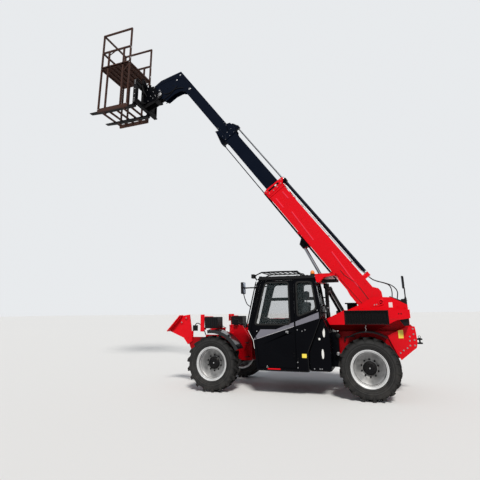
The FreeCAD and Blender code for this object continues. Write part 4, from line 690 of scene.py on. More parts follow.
def boom_details():
    """Ribs, collar plates, ram clips, bolts and sleeves of the three boom sections."""
    strips("boom_ribs", [[(2714, -183), (1876, -227)], [(3226, -263), (2926, -268)],
                         [(3244, -41), (3020, -40)], [(1418, -87), (829, -132), (507, -144)]], 7, 34, RIB_HIGHLIGHT_RED)
    strips("boom_fold", [[(1010, -196), (860, -196), (579, -112), (149, -139)]], 12, 22, RED, 0.5)
    # The thin dark strips just under the folds are painted shade
    strips("boom_fold_shade", [[(1000, -213), (865, -213), (579, -130), (149, -157)]], 1.5, 16, SEAM_AND_SHADE_RED, 0.8)
    strips("boom_low_fold", [[(880, -318), (178, -296)]], 10, 18, RED)
    strips("boom_low_shade", [[(880, -334), (178, -312)]], 1.5, 12, SEAM_AND_SHADE_RED)
    strips("boom_welds", [[(s, 72), (s, -360)] for s in (1180, 2420)], 2.5, 9, RED)
    plate = [(3553, -317), (3501, -383), (3367, -330), (3401, 89), (3502, 195), (3538, 164)]
    slab("collar_plates", [(plate, 164, 176), (plate, -176, -164)], RED, "boom_outer", 3.0, on_boom)
    slab("collar_slots", both_sides(3455, 3500, -280, 30, 174, 178.5), BLACK, "boom_outer", 2.0, on_boom)
    slab("collar_labels", both_sides(3462, 3492, -90, -40, 178, 179.5), WHITE, "boom_outer", 0.4, on_boom)
    for tag, side, out in SIDES:
        bolts(f"collar_bolts_{tag}",
              [on_boom(s, side * 176, n) for s, n in ((3420, -300), (3500, -335), (3430, 60), (3500, 120),
                                                      (3408, -180), (3420, -60))],
              out, 20, STEEL, "boom_outer")
        bolts(f"boom_pad_bolts_{tag}",
              [on_boom(s, side * BOOM_SIDE, n) for s, n in ((3290, -330), (3290, 40), (3240, -330), (3240, 40),
                                                      (480, -330), (520, -330), (480, 20), (520, 20))],
              out, 15, RED, "boom_outer")
        bolts(f"middle_head_bolts_{tag}",
              [on_boom(s, side * 135, n) for s, n in ((5410, -270), (5410, -120), (5410, 20), (5540, -270),
                                                      (5540, -120), (5540, 20))],
              out, 17, STEEL, "boom_middle")
        slab(f"middle_brackets_{tag}",
             [([(5752, 12), (5709, 100), (5600, 120), (5460, 100), (5400, 40), (5400, -60), (5560, -60)],
               side * 134, side * 144),
              ([(5800, -330), (5741, -223), (5540, -200), (5400, -240), (5400, -300), (5560, -318),
                (5800, -352)], side * 134, side * 144)], BOOM_BLACK, "boom_middle", 3.0, on_boom)
        lathe(f"sleeves_{tag}", [(0, 15.4), (0, 17), (2470, 17), (2470, 15.4)],
              [on_boom(1030, side * 110, -400)], ALONG, BLACK, "boom_outer", 20, bored=True)
        lathe(f"sleeve_ends_{tag}", [(0, 12), (0, 19), (26, 19), (30, 17), (30, 12)],
              [on_boom(s, side * 110, -400) for s in (1003, 3514)], ALONG, STEEL, "boom_outer", 20, bored=True)
        lathe(f"lift_pin_cap_{tag}", [(-12, 38), (4, 38), (7, 33), (7, 6)], [on_boom(1956, side * 79, -478)],
              out, BLACK, "boom_outer", 28)
        slab(f"lift_lug_covers_{tag}",
             [([(1858, -378), (2134, -378), (2020, -534), (1892, -534)], side * 68, side * 73)],
             BLACK, "boom_outer", 2.0, on_boom)
    slab("ram_cover", [([(3440, 79), (3522, 79), (3522, 222), (3506, 233), (3456, 233), (3440, 222)], y0, y1)
                       for y0, y1 in ((44.5, 53), (-53, -44.5))] +
         [(square(3440, 3522, 216, 232), -53, 53)], BLACK, "boom_outer", 3.0, on_boom)
    lathe("ram_gland", [(0, 38), (0, 47), (52, 47), (56, 44), (56, 38)], [on_boom(3530, 0, 172)], ALONG,
          STEEL, "boom_outer", 32, bored=True)
    lathe("ram_foot_nut", [(0, 38), (0, 46), (30, 46), (34, 41)], [on_boom(644, 0, 172)], ALONG, STEEL,
          "boom_outer", 6, smooth=False)
    tube("ram_pipe", [[on_boom(s, y, n) for s, y, n in (
        (3430, 62, 110), (3380, 66, 112), (3200, 66, 112), (2000, 66, 112), (900, 66, 112), (700, 62, 120),
        (640, 48, 150))], [on_boom(s, y, n) for s, y, n in (
            (3430, -62, 110), (3380, -66, 112), (3200, -66, 112), (900, -66, 112), (640, -48, 150))]],
         8, STEEL, "boom_outer")
    boxes("pipe_clips", [(s, s + 18, y0, y1, 78, 122) for s in (1000, 1750, 2700, 3150)
                         for y0, y1 in ((56, 77), (-77, -56))], STEEL, "boom_outer", 3.0, on_boom)
    boxes("top_pads", [(3090, 3140, -118, 118, 76, 98), (2955, 2995, -60, 60, 76, 92)], RED, "boom_outer",
          3.0, on_boom)
    for tag, side, out in SIDES:
        lathe(f"pivot_washer_{tag}", [(0, 46), (0, 62), (7, 62), (9, 58), (9, 46)],
              [at(-300, side * 263, 1705)], out, RED, "chassis", 32)
        lathe(f"pivot_end_{tag}", [(0, 44), (4, 44), (7, 38), (7, 14), (4, 12), (4, 3)],
              [at(-300, side * 265, 1705)], out, RUST, "chassis", 32)


def head_details():
    """Pins, pipes and bolts of the boom's drooping head."""
    pins = [(8112, -67, 26), (8062, -235, 24), (8229, -818, 24), (8104, -870, 25)]
    for tag, side, out in SIDES:
        for n, (s, level, radius) in enumerate(pins):
            lathe(f"head_pin_{n}_{tag}", [(-4, radius), (3, radius), (5.5, radius - 4), (4.5, 9), (6, 7), (6, 2)],
                  [on_boom(s, side * HEAD_SIDE, level)], out, STEEL, "boom_inner", 24)
        lathe(f"tilt_foot_pin_{tag}", [(-4, 34), (10, 34), (13, 29), (13, 8)],
              [on_boom(7500, side * HEAD_SIDE, -122)], out, STEEL, "boom_inner", 24)
        bolts(f"head_bolts_{tag}", [on_boom(s, side * HEAD_SIDE, n) for s, n in (
            (7540, -30), (7540, -215), (7700, -20), (7860, -40), (8210, -330), (8320, -560), (8010, -420),
            (8080, -600), (8120, -750))], out, 20, IRON_BLACK, "boom_inner")
        tube(f"head_pipes_{tag}", [
            [on_boom(s, side * y, n) for s, y, n in (
                (7902, 100, -327), (7844, 106, -515), (7819, 106, -705), (7863, 104, -850), (7859, 98, -925))],
            [on_boom(s, side * y, n) for s, y, n in (
                (7673, 100, -230), (7760, 106, -300), (7863, 106, -452), (7901, 106, -724), (8030, 98, -770))]],
             9, IRON_BLACK, "boom_inner")
        outline = [(7560, -40), (7960, -60), (8190, -250), (8330, -520), (8400, -700)]
        inner = [(s - 26 if i > 1 else s, n - 22) for i, (s, n) in enumerate(outline)]
        slab(f"head_edge_{tag}", [(outline + inner[::-1], side * 91, side * 97)], BOOM_BLACK, "boom_inner",
             2.0, on_boom)
    bolts("inner_pad_bolts", [on_boom(s, 92, n) for s in (5760, 5860) for n in (-230, -10)], LEFT, 15, STEEL,
          "boom_inner")


for axle in ("front", "rear"):
    for tag in ("left", "right"):
        wheel(axle, tag)
boom_details()
head_details()


# Cab
FRONT_PANE = [(1404, 2110), (1880, 2110), (2115, 1300), (1404, 1300)]
REAR_PANE = [(1244, 2105), (940, 2100), (880, 1580), (1244, 1450)]
FILM = (CAB_SIDE - 0.5, CAB_SIDE + 1)
VOXEL, PRESSURE, CLOTH_FRAMES = 0.008, 4.0, 20


def cushion(name, block, puff, rounds):
    """A padded block that swells by up to puff millimetres and is then smoothed a few rounds."""
    (x0, x1), (y0, y1), (z0, z1), lean = block
    form = bmesh.new()
    rings = []
    for z, shift in ((z0, 0), (z1, lean)):
        rings.append([at(x + shift, y, z) for x, y in ((x0, y0), (x1, y0), (x1, y1), (x0, y1))])
    prism(form, rings[0], rings[1])
    item = add(name, form, SEAT, "chassis")
    rough = item.modifiers.new("voxels", "REMESH")
    rough.mode = "VOXEL"
    rough.voxel_size = VOXEL
    swollen = bpy.context.evaluated_depsgraph_get()
    mesh = bpy.data.meshes.new_from_object(item.evaluated_get(swollen))
    item.modifiers.clear()
    item.data = mesh
    start = [vertex.co.copy() for vertex in mesh.vertices]
    cloth = item.modifiers.new("cloth", "CLOTH")
    cloth.settings.use_pressure = True
    cloth.settings.uniform_pressure_force = PRESSURE
    cloth.settings.effector_weights.gravity = 0.0
    scene = bpy.context.scene
    for step in range(1, CLOTH_FRAMES + 1):
        scene.frame_set(step)
    moved = item.evaluated_get(bpy.context.evaluated_depsgraph_get()).to_mesh()
    for vertex, origin, swelled in zip(mesh.vertices, start, moved.vertices):
        shift = swelled.co - origin
        if shift.length > puff / 1000:
            shift *= puff / 1000 / shift.length
        vertex.co = origin + shift
    item.modifiers.clear()
    scene.frame_set(1)
    soft = item.modifiers.new("soft", "SMOOTH")
    soft.factor = 0.6
    soft.iterations = rounds
    mesh.materials.clear()
    mesh.materials.append(SEAT)
    mesh.shade_smooth()
    return item


def seat():
    """Padded seat, back and headrest on a steel box, with piping and a lever."""
    base = boxes("seat_box", [(1120, 1480, 500, 860, 496, 900), (1150, 1450, 530, 830, 898, 985)], IRON_BLACK,
                 "chassis", 8.0)
    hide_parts("seat")
    cushion("seat_cushion", ((1100, 1545), (482, 878), (990, 1085), 0), 22, 12)
    cushion("seat_backrest", ((1150, 1245), (495, 865), (1105, 1740), -85), 22, 12)
    cushion("seat_headrest", ((1085, 1160), (585, 775), (1765, 1935), -15), 18, 8)
    tube("seat_piping", [[at(1552, y, 1042) for y in (500, 680, 860)],
                         [at(x, y, z) for x, y, z in ((1246, 500, 1150), (1212, 498, 1400), (1172, 500, 1700))],
                         [at(x, y, z) for x, y, z in ((1246, 860, 1150), (1212, 862, 1400), (1172, 860, 1700))]],
         4, PLASTIC, "chassis")
    tube("headrest_posts", [[at(1122, y, 1720), at(1120, y, 1745), at(1118, y, 1775)] for y in (640, 720)], 6,
         STEEL, "chassis")
    boxes("seat_armrests", [(1130, 1400, 898, 940, 1240, 1280), (1130, 1400, 420, 462, 1240, 1280)], PLASTIC,
          "chassis", 12.0)
    tube("seat_levers", [[at(1430, 905, 1000), at(1445, 925, 1060), at(1450, 925, 1120)]], 7, PLASTIC,
         "chassis")
    bolts("lever_knob", [at(1450, 925, 1118)], UP, 26, PLASTIC, "chassis", height=1.1)
    boxes("cab_floor_mat", [(1500, 2020, 380, 1000, 495, 503)], SEAL, "chassis", 3.0)
    boxes("pedals", [(1890, 1900, 560, 640, 560, 640), (1890, 1900, 700, 760, 560, 650)], STEEL, "chassis", 3.0)
    tube("dash_levers", [[at(x, 400, 1240), at(x + 10, 405, 1340), at(x + 15, 405, 1400)] for x in
                         (1960, 2020)], 6, STEEL, "chassis")
    boxes("dash_screen", [(1985, 2005, 760, 900, 1300, 1400), (1995, 2040, 800, 860, 1240, 1310)], PLASTIC,
          "chassis", 6.0)


def seal(name, pane, y, body, out=16, over=14, corner=60):
    """A rounded rubber surround that laps out and over a window opening's edge."""
    return band(name, rounded(shrink(pane, -out), corner + out), rounded(shrink(pane, over), corner),
                y - 2, y + 5, SEAL, body, 1.5)


def cab_details():
    """Window surrounds, the stripe, latch, labels, strips and small fittings of the cab."""
    seal("door_window_seal", FRONT_PANE, CAB_SIDE, "door")
    seal("side_window_seal", REAR_PANE, CAB_SIDE, "chassis")
    for tag, pane in (("front", FRONT_PANE), ("rear", REAR_PANE)):
        seal(f"far_window_seal_{tag}", pane, 297, "chassis")
    slab("stripe_on_door", [([(2115, 1055), (1998, 1206), (1685, 1207), (1440, 1299), (1403, 1299),
                              (1403, 1312), (1312, 1346), (1312, 1261), (2092, 1018)], *FILM)],
         STRIPE, "door", 0.3)
    slab("stripe_on_cab", [([(1290, 1355), (837, 1524), (835, 1410), (1290, 1268)], *FILM),
                           ([(2099, 1015), (2152, 999), (2156, 1004), (2121, 1050)], *FILM)],
         STRIPE, "chassis", 0.3)
    slab("stripe_edge", [([(2086, 1024), (1312, 1265), (1312, 1269), (2083, 1028)], 1050.6, 1051.6)], WHITE,
         "door", 0.2)
    door_edge = [(1310, 515), (2030, 515), (2084, 1014), (2186, 1212), (1953, 2140), (1310, 2140)]
    band("door_rim", door_edge, shrink(door_edge, 13), 1048, 1054, BLACK, "door", 1.2)
    pressing = rounded([(1360, 560), (1990, 560), (2030, 960), (1420, 1150), (1360, 1150)], 60)
    slab("door_lower_pressing", [(pressing, 1048, 1052)], BLACK, "door", 1.5)
    slab("door_latch_cup", [(rounded(square(1428, 1500, 1130, 1190), 16), 1048, 1058)], PLASTIC, "door", 2.0)
    slab("door_latch_lever", [(rounded(square(1436, 1492, 1150, 1180), 9), 1058, 1066)], STEEL, "door", 2.0)
    lathe("door_lock", [(0, 9), (4, 9), (5, 6), (5, 1)], [at(1448, 1058, 1139)], LEFT, STEEL, "door", 20)
    tube("door_grab_bar", [[at(x, y, z) for x, y, z in ((2052, 1048, 1420), (2050, 1068, 1440),
                                                        (2006, 1070, 1600), (1962, 1068, 1780),
                                                        (1957, 1048, 1800))]], 9, BLACK, "door")
    bolts("hinge_bolts_door", [at(1343, 1058, z) for z in (725, 775, 1925, 1975)], LEFT, 15, IRON_BLACK, "door")
    bolts("hinge_bolts_cab", [at(1268, 1058, z) for z in (652, 688, 1852, 1888)], LEFT, 15, IRON_BLACK,
          "chassis")
    bolts("cab_side_bolts", [at(x, CAB_SIDE, z) for x, z in ((1262, 1199), (1171, 1177), (1113, 1200), (1280, 615),
                                                         (1280, 520), (860, 1560))], LEFT, 17, STEEL, "chassis")
    slab("yellow_label", [(rounded(square(1106, 1194, 696, 768), 6, 2), *FILM)], YELLOW, "chassis", 0.3)
    slab("white_mark", [([(1856, 510), (1905, 510), (1880, 540)], *FILM)], WHITE, "door", 0.3)
    slab("door_mark", [(square(2070, 2086, 1166, 1178), *FILM)], WHITE, "door", 0.3)
    boxes("red_step_strip", [(1620, 1872, 1049, 1052, 472, 494)], RED, "chassis", 0.5)
    boxes("cab_sill", [(1085, 2085, 1040, 1058, 446, 462)], IRON_BLACK, "chassis", 3.0)
    slab("front_edge_strip", [([(2264, 1190), (2160, 1002), (2134, 842), (2126, 842), (2151, 1004),
                                (2252, 1187)], 1046, 1053)], WHITE, "chassis", 0.8)
    rear = [(797, 1590), (810, 1398), (930, 1118), (1078, 794), (1078, 470)]
    inner = [(808, 1588), (821, 1402), (940, 1122), (1088, 797), (1088, 470)]
    slab("rear_edge_strip", [([a, b, c, d], 1047, 1054) for a, b, c, d in
                             zip(rear, rear[1:], inner[1:], inner)], PLASTIC, "chassis", 1.0)
    boxes("far_window_bar", [(1002, 2044, 341, 352, 1770, 1836), (1000, 2080, 341, 356, 1290, 1395)],
          IRON_BLACK, "chassis", 4.0)
    gutter = [(2042, 2176), (1990, 2236), (905, 2228), (858, 2190), (858, 2170), (2046, 2170)]
    slab("roof_gutter", [(gutter, 1056, 1066)], PLASTIC, "chassis", 4.0)
    boxes("roof_ribs", [(1010 + 190 * n, 1060 + 190 * n, 380, 980, 2234, 2243) for n in range(5)], PLASTIC,
          "chassis", 4.0)
    boxes("roof_lamp", [(2128, 2190, 900, 1000, 2216, 2302), (2128, 2190, 360, 460, 2216, 2302)], PLASTIC,
          "chassis", 8.0)
    boxes("roof_lamp_lens", [(2189, 2195, 908, 992, 2224, 2294), (2189, 2195, 368, 452, 2224, 2294)],
          LENS_CLEAR, "chassis", 2.0)
    tube("guard_side_rails", [[at(x, y, z) for x, z in ((1150, 2236), (1228, 2324), (1500, 2334),
                                                        (1900, 2336), (2020, 2310), (2100, 2262),
                                                        (2100, 2220))] for y in (1002, 348)],
         9, BLACK, "chassis")
    boxes("wiper", [(2225, 2240, 660, 690, 1262, 1300)], PLASTIC, "chassis", 4.0)
    tube("wiper_arm", [[at(2243, 675, 1290), at(2196, 720, 1500), at(2120, 800, 1800)]], 5, PLASTIC, "chassis")
    slab("mirror_shell", [(rounded([(2352, 1900), (2392, 1906), (2394, 2138), (2352, 2142)], 14), 921, 1088)],
         PLASTIC, "chassis", 10.0)
    slab("mirror_glass", [([(2339, 1914), (2346, 1914), (2346, 2128), (2339, 2128)], 934, 1076)], MIRROR,
         "chassis", 1.0)
    tube("mirror_arms", [[at(2362, 1000, 1905), at(2340, 1000, 1820), at(2312, 1000, 1742),
                          at(2280, 998, 1680), at(2222, 996, 1650)],
                         [at(2360, 1010, 2016), at(2200, 1020, 2022), at(2080, 1030, 2022)]], 9, BLACK,
         "chassis")
    boxes("guard_feet", [(2395, 2440, y, y + 26, 1278, 1320) for y in (360, 964)], BLACK, "chassis", 4.0)
    tube("guard_struts", [[at(2268, y, 1262), at(2330, y, 1285), at(2420, y, 1300)] for y in (373, 977)] +
         [[at(2312, y, 1262), at(2210, y, 1700), at(2100, y, 2120)] for y in (356, 994)], 8, BLACK, "chassis")
    lathe("beacon_foot", [(0, 50), (30, 50), (34, 46), (44, 46), (46, 40)], [at(945, 820, 2227)], UP, PLASTIC,
          "chassis", 40)
    dome = lathe("beacon_dome", [(44, 41), (50, 44), (74, 43), (92, 38), (106, 28), (114, 15), (117, 3)],
                 [at(945, 820, 2227)], UP, AMBER, "chassis", 40)
    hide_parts("beacon")


def visor_details():
    """The red visor's underside fittings and the intake stack between cab and tower."""
    boxes("visor_box", [(460, 785, 640, 900, 2098, 2150)], IRON_BLACK, "chassis", 6.0)
    arm = [(500, 2194), (456, 2120), (472, 2112), (530, 2186)]
    slab("visor_arm", [(arm, 660, 740), (arm, 900, 980)], BLACK, "chassis", 3.0)
    lathe("intake_stack", [(0, 40), (6, 44), (120, 44), (124, 38), (330, 38), (334, 43), (350, 43), (356, 38),
                           (600, 38), (604, 56), (640, 58), (690, 58), (700, 50), (704, 12)],
          [at(728, 500, 1392)], UP, PLASTIC, "chassis", 40)
    hoop("stack_clamps", [(0, 38), (0, 42), (14, 42), (14, 38)], at(728, 500, 1600), UP, STEEL, "chassis", 40)
    boxes("stack_bracket", [(722, 800, 480, 520, 1800, 1822), (722, 800, 480, 520, 1500, 1522)], BLACK,
          "chassis", 3.0)
    tube("cab_rear_lines", [[at(x, y, z) for x, y, z in (
        (806, 560, 1700), (770, 560, 1640), (740, 570, 1520), (720, 575, 1440), (700, 575, 1392))],
        [at(x, y, z) for x, y, z in ((806, 600, 1720), (760, 605, 1660), (726, 612, 1540), (700, 610, 1450),
                                     (690, 610, 1400))]], 10, HOSE, "chassis")
    tube("visor_edge", [[at(x, y, z) for x, z in ((866, 2243), (700, 2249), (472, 2247))] for y in (1046, 322)],
         6, RED, "chassis")


def tank_details():
    """Reflectors, knob, cap, breather, step and grab bar of the tank behind the cab."""
    for n, (x, z) in enumerate(((770, 1150), (810, 768))):
        slab(f"reflector_{n}", [(oval(x, z, 22, 86), 999, 1006)], WHITE, "chassis", 2.0)
        slab(f"reflector_seat_{n}", [(oval(x, z, 27, 92), 998, 1003)], PLASTIC, "chassis", 1.0)
    lathe("tank_knob", [(0, 14), (8, 14), (10, 20), (24, 20), (28, 14), (28, 3)], [at(856, 1000, 1034)], LEFT,
          WHITE, "chassis", 28)
    lathe("tank_cap", [(0, 46), (14, 46), (16, 40), (30, 40), (34, 34), (34, 6)], [at(554, 600, 1070)], LEFT,
          PLASTIC, "chassis", 36)
    lathe("tank_breather", [(0, 35), (60, 35), (66, 30), (92, 30), (95, 24), (95, 4)], [at(567, 602, 746)],
          LEFT, STEEL, "chassis", 32)
    bolts("tank_foot_bolts", [at(x, 1000, 505) for x in (840, 878, 980)], LEFT, 18, STEEL, "chassis")
    boxes("tank_step", [(690, 1040, 1000, 1016, 462, 478)], IRON_BLACK, "chassis", 3.0)
    tube("tank_grab", [[at(x, y, z) for x, y, z in ((742, 1000, 1290), (744, 1016, 1290), (790, 1018, 1180),
                                                    (846, 1016, 1090), (848, 1000, 1088))]], 7, IRON_BLACK,
         "chassis")
    slab("tank_weld", [([(700, 1142), (770, 1368), (778, 1366), (708, 1140)], 998, 1003)], BLACK, "chassis", 1.0)


seat()
cab_details()
visor_details()
tank_details()


# Rear
def rear_details():
    """Fittings of the tower, pods, grilles, tail lamps, hitch, counterweight, tail cover and mirror."""
    drop = [(-114, 1619), (-184, 1683), (-317, 1746), (-353, 1712), (-350, 1660), (-310, 1640), (-241, 1617)]
    keeper = rounded(drop, 14, 4)
    slab("pivot_keepers", [(keeper, 254, 263), (keeper, -263, -254)], RED, "chassis", 2.0)
    for tag, side, out in SIDES:
        slab(f"tower_label_{tag}", [(square(-510, -440, 1600, 1696), *span(side, TOWER_SIDE, TOWER_SIDE + 2))],
             WHITE, "chassis", 0.4)
        bolts(f"keeper_bolts_{tag}", [at(x, side * 263, z) for x, z in ((-170, 1652), (-215, 1660))], out, 18,
              STEEL, "chassis")
        bolts(f"pod_bolts_{tag}", [at(x, side * POD_SIDE, z) for x, z in (
            (-591, 1480), (-634, 1480), (371, 1309), (-1, 1309), (-370, 1316), (390, 1510), (-396, 1510))],
              out, 17, IRON_BLACK, "chassis")
        seams = ([(-399, 1386), (-602, 1385), (-602, 1381), (-399, 1382)],
                 [(-410, 1550), (-406, 1550), (-406, 1300), (-410, 1300)])
        slab(f"pod_seams_{tag}", [(seam, side * 699, side * 702) for seam in seams], SEAM_AND_SHADE_RED, "chassis", 0.5)
        slab(f"grille_surround_{tag}", [
            (square(*bar), side * 698, side * 706) for bar in (
                (-412, 397, 1535, 1547), (-412, 397, 1283, 1295), (-412, -400, 1283, 1547),
                (385, 397, 1283, 1547))], IRON_BLACK, "chassis", 2.0)
        form = bmesh.new()
        for k in range(40):
            u = -384 + k * 19.5
            for lean in (70, -70):
                low = [at(min(max(u + d - lean, -396), 381), side * 690, 1302) for d in (0, 3)]
                high = [at(min(max(u + d + lean, -396), 381), side * 690, 1528) for d in (3, 0)]
                prism(form, low + high, [point + out * 0.0015 for point in low + high])
        add(f"grille_mesh_{tag}", form, IRON_BLACK, "chassis")
        bolts(f"cheek_bolts_{tag}", [at(x, side * CHEEK_SIDE, z) for x, z in (
            (-812, 1202), (-815, 1107), (-746, 1062), (-738, 987), (-821, 1003), (-738, 902), (-817, 907),
            (-683, 857), (-614, 815), (-555, 769))], out, 22, STEEL, "chassis")
        slab(f"cheek_label_{tag}", [([(-552, 1174), (-641, 1182), (-637, 1031), (-550, 1030)],
                                     *span(side, CHEEK_SIDE, CHEEK_SIDE + 2))], YELLOW, "chassis", 0.4)
        for n, (z, look) in enumerate(((1352, LENS_RED), (1303, AMBER))):
            slab(f"tail_lens_{n}_{tag}", [(rounded(square(-760, -750, z - 19, z + 19), 2, 1),
                                           *span(side, 520, 630))], look, "chassis", 3.0)
        slab(f"tail_lamp_bezel_{tag}", [(square(-757, -748, z0, z1), *span(side, y0, y1)) for y0, y1, z0, z1 in (
            (508, 516, 1276, 1384), (634, 642, 1276, 1384), (512, 640, 1325, 1331))], PLASTIC, "chassis", 1.5)
        bolts(f"tower_bolts_{tag}", [at(x, side * TOWER_SIDE, z) for x, z in (
            (-740, 1590), (-600, 1620), (60, 1600), (140, 1570))], out, 20, RED, "chassis")
    hook = [at(x, 703, z) for x, z in ((15, 1256), (35, 1225), (2, 1195), (37, 1172), (10, 1145))]
    tube("spring_hook", [hook, [at(15, 703, 1256), at(14, 700, 1262), at(12, 690, 1270)]], 6, STEEL, "chassis")
    slab("far_box", [(square(187, 467, 1687, 1716), -560, -440), (square(208, 423, 1556, 1690), -550, -450)],
         IRON_BLACK, "chassis", 6.0)
    tube("wide_plate_hose", [[at(x, 464, z) for x, z in ((441, 986), (445, 1033), (355, 1057), (245, 1058))]],
         12, HOSE, "chassis")
    lathe("hose_fitting", [(0, 12), (0, 17), (22, 17), (28, 13)], [at(441, 464, 962)], UP, IRON_BLACK,
          "chassis", 6, smooth=False)
    lathe("hitch_pin", [(-52, 4), (-52, 13), (-44, 15.8), (52, 15.8), (52, 24), (60, 24), (64, 18), (64, 6)],
          [at(-945, 0, 950)], UP, IRON_BLACK, "chassis", 28)
    hoop("hitch_ring", [(-4, 16), (-4, 24), (4, 24), (4, 16)], at(-945, 0, 1030), LEFT, IRON_BLACK, "chassis", 36)
    bolts("hitch_bolts", [at(-862, y, z) for y in (-92, 92) for z in (885, 1022)], BACK, 22, STEEL, "chassis")
    bolts("weight_bolts", [at(-840, y, z) for y in (-420, -330, 330, 420) for z in (960, 1090)], BACK, 26,
          STEEL, "chassis")
    slab("weight_ribs", [(square(-847, -838, 905, 1195), y - 8, y + 8) for y in (-270, 270, -455, 455)], RED,
         "chassis", 3.0)
    slab("cover_lid", [([(-474, 1812), (-474, 1821), (-690, 1731), (-690, 1722)], y0, y1)
                       for y0, y1 in ((48, 226), (-226, -48))], PLASTIC, "chassis", 3.0)
    bolts("cover_bolts", [at(-784, y, z) for y in (-200, 0, 200) for z in (1590, 1730)], BACK, 18, STEEL,
          "chassis")
    boxes("cover_vents", [(-790, -783, -150, 150, 1620 + 22 * n, 1630 + 22 * n) for n in range(4)], SEAL,
          "chassis", 2.0)
    slab("tail_mirror_glass", [(rounded(square(-728.5, -724, 1995, 2195), 1.5, 1), 119, 261)], MIRROR,
         "chassis", 0.6)
    slab("tail_mirror_shell", [([(-758, 1982), (-728, 1982), (-727, 2208), (-758, 2208), (-770, 2190),
                                 (-770, 2000)], 106, 274)], PLASTIC, "chassis", 5.0)
    lathe("stalk_foot", [(0, 26), (8, 26), (10, 17), (34, 15), (34, 12)], [at(-765, 185, 1764)], UP, PLASTIC,
          "chassis", 28)
    slab("well_rims", [([(-684, 1729), (-684, 1739), (-480, 1824), (-480, 1814)], y0, y1)
                       for y0, y1 in ((45.5, 54), (-54, -45.5))], SEAL, "chassis", 2.0)


